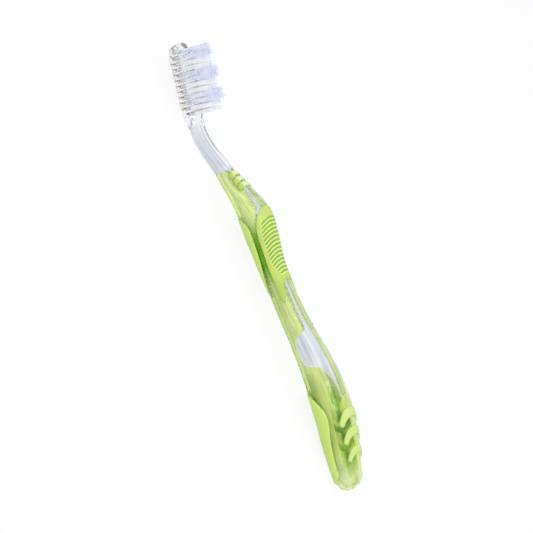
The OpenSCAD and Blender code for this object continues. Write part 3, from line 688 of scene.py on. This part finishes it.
def paint_sleeve(sleeve, top, rim_highlight):
    """Where the sleeve is milky, deep in colour, partly with painted shade toward the back, darkened
    by painted shade on its front flanks and in the tail, pale with a painted highlight along the
    windows' rims, or pale near the tail end.
    """
    place, y, z = paint_flow(sleeve)
    side = side_angle(y, z)
    # The painted highlight along the rims, mostly at the low window, also made milky
    rim_highlight = near(sleeve, top.reshape(-1, 3), rim_highlight.ravel(), 0)
    rim_highlight *= graded(place, [(62, 1), (67, 0.25)])
    band = bell(place, 100, 11.5, 4) * bell(side, 0, 45, 4)
    bead = (side > 79.5) & (place > 37) & (place < 85)
    crest = rise(side, 70, 8) * rise(place, 108, 4)
    ahead = place + graded(side, [(30, 0), (42, 8), (58, 8), (66, 4)])
    milk = graded(ahead, [(0, 0.6), (10, 0.3), (16, 0.05), (46, 0.05), (52, 0.45), (118, 0.45)])
    paint(sleeve, "milk", np.maximum(np.where(bead, 1.0, milk * (1 - band)), rim_highlight))
    # Painted shade toward the back, beside the grips, deepening the green
    back_shade = rise(side, graded(place, [(30, 14), (46, -5)]), -30)
    back_shade *= graded(place, [(12, 0), (20, 1), (80, 1), (86, 0.6), (92, 0.6), (97, 1), (112, 1),
                            (124, 0.2)])
    deep = np.maximum(np.maximum(0.33 * band, 0.3 * back_shade), 0.22 * crest)
    paint(sleeve, "deep", np.where(bead, 0.2, deep))
    # Painted shade on the sleeve's front flanks and in the tail
    painted_shade = graded(side, [(25, 0), (45, 0.34), (54, 0.34), (68, 0.08)]) * (1 - band)
    painted_shade *= graded(place, [(44, 0), (48, 1), (102, 1), (110, 0.6)])
    painted_shade = np.maximum(painted_shade * (1 - crest), graded(place, [(60, 0), (66, 0.14), (78, 0.14), (83, 0)]))
    painted_shade = painted_shade + graded(place, [(12, 0), (20, 0.15), (46, 0.2), (50, 0)])
    paint(sleeve, "painted_shade", painted_shade * (1 - rim_highlight) * ~bead)
    # Patch: the painted highlight on the rims, and paler near the tail end
    pale = graded(place, [(0, 0.1), (1.5, 0.3), (4, 0.9), (8, 0.7), (13, 0)])
    paint(sleeve, "patch", np.maximum(rim_highlight, pale))


# Clear core. Its rings go over the strip below the bead, a window's pane, the back and the other
# pane, and a pane has a wall's foot and a brim on either side.
STRIP_COLUMNS, PANE_COLUMNS, AROUND_COLUMNS = 7, 15, 90
BURIED, WALL_FOOT, BRIM, PANE = range(4)
LANE_COLUMNS = (4, 5)
PANE_EDGE, BRIM_DROP, SEAT_DROP = 0.2, 0.12, 0.12


def make_core():
    """The core: below the sleeve, near the skin in a window, bare from the collar on."""
    inset = -WALL - GAP
    u_tail = -inset + (TAIL_ROUND + inset) * TAIL_ARC
    neck = np.arange(COLLAR + 0.7, HEEL, 0.6)
    head = np.arange(HEEL, BRUSH - TIP_ROUND, 0.7)
    tip = BRUSH - TIP_ROUND * (1 - np.sin(np.linspace(0, math.pi / 2, 19)[:-1]))
    u = np.r_[u_tail, handle_places()[1:], COLLAR + GAP, neck, head, tip]
    outer, inner = (e[:, None] for e in window_edges(np.minimum(u, COLLAR)))
    opened = (outer - inner > LEAST_OPENING) & (u <= COLLAR)[:, None]
    outer = np.maximum(outer, inner + 2 * PANE_EDGE)
    brim = np.array([[0.5, 0.9]]) * PANE_EDGE
    glass = np.linspace(0, 1, PANE_COLUMNS)[None, :]
    pane = np.concatenate([inner + brim, inner + PANE_EDGE + (outer - inner - 2 * PANE_EDGE) * glass,
                           outer - brim[:, ::-1]], 1)
    around = outer + (360 - 2 * outer) * np.linspace(0, 1, AROUND_COLUMNS)[None, :]
    strip = inner * np.linspace(-1, 1, STRIP_COLUMNS)[None, :]
    rel = np.concatenate([strip, pane, around, 360 - pane[:, ::-1]], 1)
    pane_kind = [WALL_FOOT, BRIM] + [PANE] * PANE_COLUMNS + [BRIM, WALL_FOOT]
    kind = [BURIED] * STRIP_COLUMNS + pane_kind + [BURIED] * AROUND_COLUMNS + pane_kind
    kind = np.array([kind]) * opened
    u = u[:, None] + 0 * rel
    off = np.choose(kind, [inset, inset, -RECESS - BRIM_DROP, -RECESS])
    rings = surf(u, FRONT + rel, np.where(u > COLLAR, 0.0, off))
    low = ((kind < BRIM) & (u <= COLLAR))[..., None]
    rings = np.where(low, seated(rings, -SEAT_DROP), rings)
    solid = loft(rings, pole(-inset), pole(BRUSH))
    core = add("core_clear", *solid, MAT_CORE, "clear_core", ["clear_core"], sharp=CORE_SHARP)
    bore_head(core)
    paint_core(core, rings, u, kind)


def paint_core(core, rings, u, kind):
    """Where the core is green below the sleeve, buried, lit by a painted highlight, darkened in lines
    of painted shade, or milky.
    """
    place, y, z = paint_flow(core)
    side = side_angle(y, z)
    paint(core, "deep", bell(place, 99, 12, 4) * bell(side, 0, 45, 4))
    held = np.clip(place, TAIL_ROUND, COLLAR)
    depth = np.hypot(y / at(held, HALF_WIDE), z / at(held, HALF_DEEP))
    buried = rise(depth, 0.93, -0.05)
    paint(core, "patch", np.where(place < COLLAR, buried, 0))
    neck_part = np.clip(np.minimum(place - COLLAR - 0.5, HEEL - 1 - place) / 2, 0, 1)
    # Painted highlight in bands along the neck's front and toward its back
    paint(core, "painted_highlight", neck_part * np.maximum(rise(side, 66, 5), 0.6 * rise(side, -36, -8)))
    # Painted shade: the buried core darker toward the front beside the windows; on the neck a darker
    # band over its sides and a thin dark line near its front
    lane_shade = 0.27 * buried * rise(side, 35, 20) * (place < COLLAR) * rise(place, 50, 5)
    middle = 0.11 * rise(side, -30, 10) * rise(side, 64, -6)
    line = np.maximum(lane_shade, neck_part * np.maximum(middle, 0.6 * bell(side, 62, 3)))
    # Painted shade in a line just past the front on one side of the neck, near the head
    edge_shade = graded(place, [(HEEL - 18, 0), (HEEL - 12, 1), (HEEL - 5, 1), (HEEL - 2, 0)])
    line = np.maximum(line, edge_shade * bell(np.degrees(np.arctan2(z, y)), 105, 8))
    milk = graded(place, [(8, 0.2), (14, 1.0), (COLLAR - 0.5, 1.0), (COLLAR + 1, 0.9),
                          (HEEL - 10, 0.65), (HEEL - 4, 0.4), (HEEL, 0.03), (BRUSH - 4, 0.03),
                          (BRUSH, 0.25)])
    x, z = place - HEEL, z + at(np.clip(place, 0, BRUSH), CENTRE) - HEEL_Z
    x, z = x * math.cos(TILT) + z * math.sin(TILT), z * math.cos(TILT) - x * math.sin(TILT)
    for _, tx, ty in TUFTS:
        bore = (np.hypot(x - tx, y - ty) < HOLE_D / 2 + 0.02) & (z > ANCHOR_TOP + 0.1)
        milk[bore] = 0.6
    last = kind.shape[1] - 1
    lane = [c for k in LANE_COLUMNS for c in (STRIP_COLUMNS + k, last - k)]
    # A painted shadow line along the panes' inner edges, beside the bead
    shadow_line = (u > 64) & (u < 90) & np.isin(np.arange(last + 1), lane)
    paint(core, "line", near(core, rings[shadow_line], graded(u[shadow_line], [(64, 0), (74, 0.7)]), line))
    walls = (u < 50) & ((kind == WALL_FOOT) | (kind == BRIM))
    paint(core, "milk", near(core, rings[walls], np.full(walls.sum(), 0.05), milk))


# Head and tufts. In the head's own frame X runs from the heel, and Z is 0 in mid thickness.
HEAD_AXIS, FACE = HEAD / math.cos(TILT), HEAD_THICK / 2
TIP_MARGIN, ROW_PITCH, TUFT_PITCH = 3.3, 2.25, 2.56
HOLE_D, HOLE_DEPTH, HOLE_SIDES, ANCHOR_H = 1.7, 3.4, 24, 1.2
HOLE_FLOOR = FACE - HOLE_DEPTH
ANCHOR_TOP = HOLE_FLOOR + ANCHOR_H
ROW_COUNTS = [3, 4, 4, 4, 4, 4, 4, 4, 4, 4, 4, 3]
TUFTS = [(r, HEAD_AXIS - TIP_MARGIN - r * ROW_PITCH, (t - (c - 1) / 2) * TUFT_PITCH)
         for r, c in enumerate(ROW_COUNTS) for t in range(c)]
FILAMENTS, FILAMENT_SIDES, GOLDEN_ANGLE = 46, 5, 2.399963
FILAMENT_STEPS = np.array([0, 0.08, 0.2, 0.38, 0.58, 0.78, 0.93, 1.0])
WHITE_LEN, BLUE_LEN = 9.0, 11.2
# Fan and drift at the top, half thickness, deepest shade
WHITE_FORM, BLUE_FORM = (1.22, 0.03, 0.115, 0.4), (1.7, 0.26, 0.095, 0.25)


def on_head(p):
    """Points of the head's own frame, put in the brush's frame."""
    p = np.asarray(p, float)
    c, s = math.cos(TILT), math.sin(TILT)
    return np.stack([HEEL - BRUSH / 2 + p[..., 0] * c - p[..., 2] * s, p[..., 1],
                     HEEL_Z + p[..., 0] * s + p[..., 2] * c], -1)


def bore_head(core):
    """Bores the tuft holes in the head."""
    n = HOLE_SIDES
    verts, faces = [], []
    for _, x, y in TUFTS:
        k = len(verts)
        for z in (HOLE_FLOOR, ANCHOR_TOP + 0.05, ANCHOR_TOP + 0.15, FACE + 1):
            verts += [(x + cx, y + cy, z) for cx, cy in circle(n) * HOLE_D / 2]
        faces.append(tuple(range(k + n - 1, k - 1, -1)))
        faces.append(tuple(range(k + 3 * n, k + 4 * n)))
        faces += turned_over(tube(4, n, k))
    cutter = new_object("bores", on_head(verts), faces)
    mod = core.modifiers.new("bores", "BOOLEAN")
    mod.operation, mod.solver, mod.object = "DIFFERENCE", "EXACT", cutter
    bpy.context.view_layer.update()
    done = bpy.data.meshes.new_from_object(core.evaluated_get(bpy.context.evaluated_depsgraph_get()))
    core.modifiers.clear()
    core.data = done
    bpy.data.objects.remove(cutter)
    done.shade_smooth()
    done.set_sharp_from_angle(angle=math.radians(CORE_SHARP))


def make_filament(rng, row, blue, k, x, y):
    """Points of filament k of a tuft, how far up it they are, and its shade."""
    rad = math.sqrt((k + 0.5) / FILAMENTS)
    turn = k * GOLDEN_ANGLE + rng.uniform(-0.2, 0.2)
    start = np.array([rad * math.cos(turn), rad * math.sin(turn)]) * (HOLE_D / 2 - 0.13)
    fan, drift, thick, shade = BLUE_FORM if blue else WHITE_FORM
    if blue:
        length = BLUE_LEN + (row > 1) * 0.5 - 2.3 * rng.beta(1.2, 1.5) - 0.5 * rad
    else:
        length = WHITE_LEN + 0.06 * rng.uniform(-1, 1) - 0.05 * rad
    end = start * fan + rng.normal(0, drift, 2)
    foot, top = ANCHOR_TOP + 0.03, FACE + length
    z = foot + (top - foot) * FILAMENT_STEPS
    above = np.clip((z - FACE) / length, 0, 1)
    bend = above ** 1.25
    squeeze = 1 - 0.3 * np.clip((foot + 0.8 - z) / 0.8, 0, 1)
    px = x + start[0] * squeeze + (end[0] - start[0]) * bend
    py = y + start[1] * squeeze + (end[1] - start[1]) * bend
    wide = np.full(len(z), thick)
    wide[-2:] = thick * 0.92, thick * 0.45
    cx, cy = circle(FILAMENT_SIDES).T
    ring = np.stack([px[:, None] + wide[:, None] * cx, py[:, None] + wide[:, None] * cy,
                     z[:, None] + 0 * cx], -1)
    return ring.reshape(-1, 3), np.repeat(above, FILAMENT_SIDES), shade * float(rng.beta(1, 4))


def make_tufts():
    """A bundle of filaments in every hole, rising from its anchor and fanned at the top."""
    rng = np.random.default_rng(11)
    rings, sides = len(FILAMENT_STEPS), FILAMENT_SIDES
    size = rings * sides
    for row in range(len(ROW_COUNTS)):
        blue = (row // 2) % 2 == 0
        verts, faces, along, shade = [], [], [], []
        for x, y in [(tx, ty) for r, tx, ty in TUFTS if r == row]:
            for k in range(FILAMENTS):
                points, up_it, tone = make_filament(rng, row, blue, k, x, y)
                base = len(verts) * size
                faces += turned_over(tube(rings, sides, base))
                faces.append(tuple(reversed(range(base, base + sides))))
                faces.append(tuple(range(base + size - sides, base + size)))
                verts.append(points)
                along.append(up_it)
                shade.append(np.full(size, tone))
        obj = new_object(f"bristles_row_{row + 1:02d}", on_head(np.concatenate(verts)), faces)
        paint(obj, "along", np.concatenate(along))
        paint(obj, "shade", np.concatenate(shade))
        finish_piece(obj, MAT_BLUE if blue else MAT_WHITE,
                     [f"tuft_row_{row + 1:02d}"], FILAMENT_SHARP)


# Rubber grips. The skin dips at the outline, and the underside is sunk in the sleeve.
GRIP_DIP, GRIP_SUNK, THUMB_SUNK = 0.06, 0.4, 0.45
GRIP_RISE, GRIP_LIP, BACK_ANGLE = 0.35, 0.6, 94.0
UPPER_SHARES = [
    (0.6055, 0.02), (0.609, 0.13), (0.616, 0.26), (0.635, 0.46), (0.665, 0.67), (0.7, 0.79),
    (0.74, 0.86), (0.775, 0.89), (0.805, 0.89), (0.825, 0.84), (0.842, 0.7), (0.852, 0.54),
    (0.857, 0.36), (0.8585, 0.18), (0.8588, 0.04)]
LOWER_SHARES = [
    (0.0335, 0.04), (0.034, 0.4), (0.04, 0.62), (0.05, 0.82), (0.062, 0.88), (0.085, 0.89),
    (0.12, 0.91), (0.165, 0.95), (0.2, 1), (0.235, 0.99), (0.255, 0.94), (0.276, 0.82),
    (0.292, 0.66), (0.304, 0.48), (0.311, 0.3), (0.314, 0.12), (0.3145, 0.02)]


def cushion(d, height, radius):
    """Height of a grip's skin at the distance d inside its outline."""
    return -GRIP_DIP + (height + GRIP_DIP) * lip(d, radius)


def make_back_grips():
    """The two grips on the back line."""
    cols = spread(49)
    for name, shares, node in (("grip_back_upper", UPPER_SHARES, "upper_back_grip"),
                               ("grip_back_lower", LOWER_SHARES, "lower_back_grip")):
        rows = smooth_rows(np.array(shares) * [HANDLE, BACK_ANGLE], 110)
        u = rows[:, :1] + 0 * cols[None, :]
        rel = rows[:, 1:] * cols[None, :]
        outline = np.concatenate([rows, rows[::-1] * [1, -1], rows[:1]])
        off = cushion(edge_distance(u, rel, [outline]), GRIP_RISE, GRIP_LIP)
        skin = shell(surf(u, BACK + rel, off), surf(u, BACK + rel, -GRIP_SUNK))
        pad = add(name, *skin, MAT_GRIP, node, [node])
        paint(pad, "groove", PLAIN)


GROOVES, GROOVE_FROM, GROOVE_PITCH, GROOVE_BOW, GROOVE_DEPTH = 15, 24.6, 1.55, 3.4, 0.62
GROOVE_HALF = [(0, 0.71), (4, 0.79), (9, 0.78), (11, 0.73), (13, 0.58), (14.5, 0.38)]


def make_thumb_grip():
    """The thumb grip: arched grooves, and two legs with a notch between them."""
    rows = smooth_rows(THUMB, 120)
    places = np.unique(np.r_[rows[:, 0], np.arange(86.0, 115.0, 0.11)])
    places = places[np.r_[True, np.diff(places) > 0.02]]
    outer = graded(places, rows)
    inner = np.minimum(graded(places, NOTCH), outer - 1.0)
    half = (spread(41, 0.4) + 1) / 2
    right = inner[:, None] + (outer - inner)[:, None] * half[None, :]
    rel = np.concatenate([-right[:, ::-1], right], 1)
    u = places[:, None] + 0 * rel
    edge = np.concatenate([
        np.stack([places, outer], -1)[::-1], np.stack([places, inner], -1)[inner > 0]])
    d = np.minimum(edge_distance(u, np.abs(rel), [edge]), FAR_AWAY)
    f = rel / outer[:, None]
    phase = (COLLAR - GROOVE_FROM - (u - GROOVE_BOW * (0.5 - f**2))) / GROOVE_PITCH
    width = graded(phase, GROOVE_HALF)
    inside = np.clip(phase * 5, 0, 1) * np.clip((GROOVES - phase) * 5, 0, 1)
    inside *= np.clip((width - np.abs(f)) / 0.08, 0, 1)
    turn = phase % 1.0
    cut = np.clip(np.minimum(turn / 0.24, (0.8 - turn) / 0.3), 0, 1)
    cut = cut * cut * (3 - 2 * cut) * inside
    top = surf(u, FRONT + rel, cushion(d, GRIP_RISE, GRIP_LIP) - GROOVE_DEPTH * cut)
    n = len(half)
    strips = [(0, n - 1, "all", "open"), (n, 2 * n - 1, "open", "all")]
    skin = shell(top, surf(u, FRONT + rel, -THUMB_SUNK), strips, inner[:-1] > 0)
    grip = add("grip_thumb", *skin, MAT_THUMB, "thumb_grip", ["thumb_grip"], sharp=THUMB_SHARP)
    # Painted highlight on the ridges, painted shade on the grooves' floors and on the lower leg
    field = np.clip((width - np.abs(f)) / 0.05, 0, 1) * (phase > 0) * (phase < GROOVES)
    leg_shade = 0.35 * rise(u, 93, -8)
    tone = np.where(field > 0.5, cut, PLAIN + leg_shade)
    paint(grip, "groove", near(grip, top.reshape(-1, 3), tone.ravel(), PLAIN))


CREST, CREST_PITCH, BAND, SWEEP = 31.4, 7.6, 4.1, 6.8
CREST_ANGLE, CREST_RISE, CREST_LIP = 52.0, 0.55, 0.7
CREST_CUTS = np.array([
    (0, 0, 0), (0.22, 0.015, 0.02), (0.42, 0.075, 0.09), (0.58, 0.17, 0.22), (0.71, 0.29, 0.38),
    (0.82, 0.43, 0.39), (0.92, 0.58, 0.34), (1, 0.74, 0.21)])


def curve(x, table, column):
    """Smooth curve through a table's first column and the one given."""
    xs, ys = table[:, 0], table[:, column]
    m = np.gradient(ys, xs)
    i = np.clip(np.searchsorted(xs, x, side="right") - 1, 0, len(xs) - 2)
    h = xs[i + 1] - xs[i]
    return hermite((x - xs[i]) / h, h, ys[i], ys[i + 1], m[i], m[i + 1])


def make_crescents():
    """The crescents on the front of the tail, each smaller than the one before."""
    f = spread(81, 0.7)
    r = (spread(17, 0.5) + 1) / 2
    for c, size in enumerate((1, 0.93, 0.82)):
        crest = CREST - c * CREST_PITCH
        outer = crest - SWEEP * size * curve(np.abs(f), CREST_CUTS, 1)
        inner = crest - BAND * size - SWEEP * size * curve(np.abs(f), CREST_CUTS, 2)
        u = inner[None, :] + (outer - inner)[None, :] * r[:, None]
        rel = CREST_ANGLE * (1 + size) / 2 * f[None, :] + 0 * u
        line = np.concatenate([np.stack([u[0], rel[0]], -1), np.stack([u[-1], rel[-1]], -1)[::-1]])
        d = edge_distance(u, rel, [np.concatenate([line, line[:1]])])
        off = cushion(d, CREST_RISE, CREST_LIP)
        skin = shell(surf(u, FRONT + rel, off), surf(u, FRONT + rel, -GRIP_SUNK))
        add(f"grip_crescent_{c + 1}", *skin, MAT_CRESCENT, "crescent_grips",
            [f"crescent_grip_{c + 1}"])


# An arm is (place, reach, tone), and a station of the leaf is shares of its length and width.
RUNNER_ARMS = [(9.8, 3.9, 0.2), (16.6, 4.8, 0.3), (24.0, 5.0, 1.0)]
STEM_HALF, ARM_HALF, ARM_FLARE, ARM_RISE, ARM_CAP = 1.3, 1.2, 0.35, 2.0, 0.22
LEAF_FROM, LEAF_LEN, LEAF_WIDTH = 33.8, 7.6, 6.9
LEAF_SHARES = [
    (0.0, 0.19), (0.02, 0.3), (0.1, 0.4), (0.24, 0.48), (0.4, 0.5), (0.56, 0.47), (0.72, 0.38),
    (0.86, 0.25), (0.96, 0.11), (1, 0.02)]
RUNNER_LEVELS = [(0, -0.9), (0, -0.07), (0.1, -0.01)]


def runner_outline():
    """The runner's outline: a stem with arms below the crescents, and a leaf."""
    half = [(8.6, 0.3), (8.7, 0.8)]
    for place, reach, _ in RUNNER_ARMS:
        y = np.linspace(STEM_HALF, reach, 9)
        bow, wide = ARM_RISE * (y / 5) ** 2, ARM_HALF + ARM_FLARE * (y / reach) ** 4
        end, cap = place + bow[-1], 0.7 * wide[-1]
        half += list(zip(place + bow - wide, y))
        half += [(end - cap, reach + ARM_CAP), (end + cap, reach + ARM_CAP)]
        half += list(zip((place + bow + wide)[::-1], y[::-1]))
    half += [(LEAF_FROM - 0.8, STEM_HALF)]
    half += [(LEAF_FROM + LEAF_LEN * a, LEAF_WIDTH * b) for a, b in LEAF_SHARES]
    half = np.array(half)
    return np.concatenate([half, half[::-1] * [1, -1]])


def make_runner():
    """The rubber runner on the core's front seat."""
    line = runner_outline()
    along = np.roll(line, -1, 0) - np.roll(line, 1, 0)
    inward = np.stack([-along[:, 1], along[:, 0]], -1) / np.hypot(*along.T)[:, None]
    n = len(line)
    rings = []
    for inset, depth in RUNNER_LEVELS:
        q = line - inward * inset
        rings.append(np.column_stack([q[:, 0] - BRUSH / 2, q[:, 1], seat_level(line[:, 0]) + depth]))
    faces = [tuple(range(n)), tuple(range(3 * n - 1, 2 * n - 1, -1))] + tube(3, n)
    runner = add("runner_rubber", np.concatenate(rings), faces, MAT_RUNNER, "grip_runner",
                 ["grip_runner"])
    place, y, _ = paint_flow(runner)
    tone = np.full(len(place), PLAIN)
    for arm, _, depth in RUNNER_ARMS:
        on_arm = (np.abs(place - arm) < 3.5) & (np.abs(y) > STEM_HALF + 0.05)
        tone = np.where(on_arm, depth, tone)
    paint(runner, "groove", tone)


RIB_FROM, RIB_PITCH, RIB_WIDTH, RIB_BOW, RIB_ANGLE = 1.9, 2.75, 2.1, 1.4, 52.0
RIB_RISE, RIB_LIP, RIB_ARC_PER_DEGREE = 0.55, 0.95, 0.075


def make_neck_ribs():
    """Three raised ribs across the front at the collar."""
    verts, faces, rib_shading, base = [], [], [], 0
    f = spread(41, 0.6)
    r = spread(15, 0.4)
    for k in range(3):
        u = (COLLAR - RIB_FROM - k * RIB_PITCH + r[:, None] * RIB_WIDTH / 2
             - RIB_BOW * f[None, :] ** 2)
        rel = RIB_ANGLE * f[None, :] + 0 * u
        d = np.minimum((1 - np.abs(r))[:, None] * RIB_WIDTH / 2,
                       (1 - np.abs(f))[None, :] * RIB_ANGLE * RIB_ARC_PER_DEGREE)
        off = GAP + (RIB_RISE - GAP) * lip(d, RIB_LIP)
        points, rib = shell(surf(u, FRONT + rel, off), surf(u, FRONT + rel, GAP - 0.02))
        verts.append(points)
        faces += [tuple(i + base for i in face) for face in rib]
        # A painted highlight across the ribs' middle, painted shade toward their ends
        rib_shading.append(np.tile((0.05 + 0.5 * rise(np.abs(f), 0.3, 0.4) + 0 * u).ravel(), 2))
        base += len(points)
    ribs = add("ribs_collar", np.concatenate(verts), faces, MAT_THUMB, "neck_ribs", ["neck_ribs"])
    paint(ribs, "groove", near(ribs, np.concatenate(verts), np.concatenate(rib_shading), 0))


# Dress the part
make_core()
make_sleeve()
make_back_grips()
make_thumb_grip()
make_crescents()
make_neck_ribs()
make_runner()
make_tufts()
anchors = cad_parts["tuft_anchors"].data
anchors.materials.clear()
anchors.materials.append(MAT_BRASS)

# Camera
TURN, LEAN = math.radians(33.0), math.radians(22.75)
PIXEL, DISTANCE, PIXELS, SENSOR = 0.3965, 1200.0, 533, 36
AIM_RIGHT, AIM_UP, AIM_BACK = 6.0, 2.4, 4.5
across = Vector((0, -math.sin(TURN), math.cos(TURN)))
toward = Vector((0, math.cos(TURN), math.sin(TURN)))
right = across * math.cos(LEAN) - Vector((1, 0, 0)) * math.sin(LEAN)
up = Vector((1, 0, 0)) * math.cos(LEAN) + across * math.sin(LEAN)
aim = right * AIM_RIGHT + up * AIM_UP + toward * AIM_BACK
lens = bpy.data.cameras.new("camera")
lens.sensor_width = SENSOR
lens.lens = SENSOR * DISTANCE / (PIXEL * PIXELS)
lens.clip_end = 20
camera = in_scene("camera", lens)
pose = Matrix((right, up, toward)).transposed().to_4x4()
pose.translation = (aim + toward * DISTANCE) * MM
camera.matrix_world = pose
bpy.context.scene.camera = camera

# Studio. The lamps are in metres and watts. Floor and world look whiter than the light they give.
FLOOR_HALF, FLOOR_Z, FLOOR_WHITE = 4000.0, -0.05, 0.88
WORLD_LIGHT, WORLD_SEEN = 0.62, 1.0


def soft_light(name, place, aim_z, size_x, size_y, power):
    """A rectangular lamp at a place, turned toward the brush's middle at the height aim_z."""
    data = bpy.data.lights.new(name, "AREA")
    data.shape = "RECTANGLE"
    data.size, data.size_y = size_x, size_y
    data.energy = power
    place = Vector(place)
    back = (place - Vector((0, 0, aim_z))).normalized()
    side = (Vector((1, 0, 0)) - back * back.x).normalized()
    turned = Matrix((side, back.cross(side), back)).transposed().to_4x4()
    turned.translation = place
    in_scene(name, data).matrix_world = turned


def make_floor():
    """The white floor on which the brush lies."""
    mat, tree, out = new_material("floor_white")
    p = principled(tree, (0.86, 0.86, 0.86), 0.7, Specular_IOR_Level=0.2)
    mottle = ramp(noise(tree, scale=6, detail=2),
                  [(0.3, (0.85, 0.85, 0.85)), (0.7, (0.87, 0.87, 0.87))])
    feed(p, Base_Color=mottle)
    white = new_node(tree, "Emission", Color=(1, 1, 1), Strength=1.0)
    share = calculate(tree, "MULTIPLY", seen_ray(tree), FLOOR_WHITE)
    surface = mix_shaders(tree, share, p.outputs["BSDF"], white.outputs["Emission"])
    feed(out, Surface=surface)
    h, z = FLOOR_HALF, FLOOR_Z
    corners = np.array([(-h, -h, z), (h, -h, z), (h, h, z), (-h, h, z)])
    floor = new_object("floor", corners, [(0, 1, 2, 3)])
    floor.data.materials.append(mat)


def make_world():
    """The light all round, seen as white."""
    world = bpy.data.worlds.new("studio")
    bpy.context.scene.world = world
    world.use_nodes = True
    tree = world.node_tree
    strength = map_range(seen_ray(tree), WORLD_LIGHT, WORLD_SEEN, 0.0, 1.0)
    feed(tree.nodes["Background"], Color=(0.95, 0.97, 1), Strength=strength)


soft_light("key", (0.1, 0.5, 0.75), 0, 0.7, 0.35, 3.2)
soft_light("overhead", (0, -0.25, 0.9), 0, 0.8, 0.3, 1.4)
soft_light("streak", (0, 0.5, 0.64), 0.01, 0.6, 0.03, 0.35)
make_floor()
make_world()
bpy.context.scene.view_settings.view_transform = "Standard"
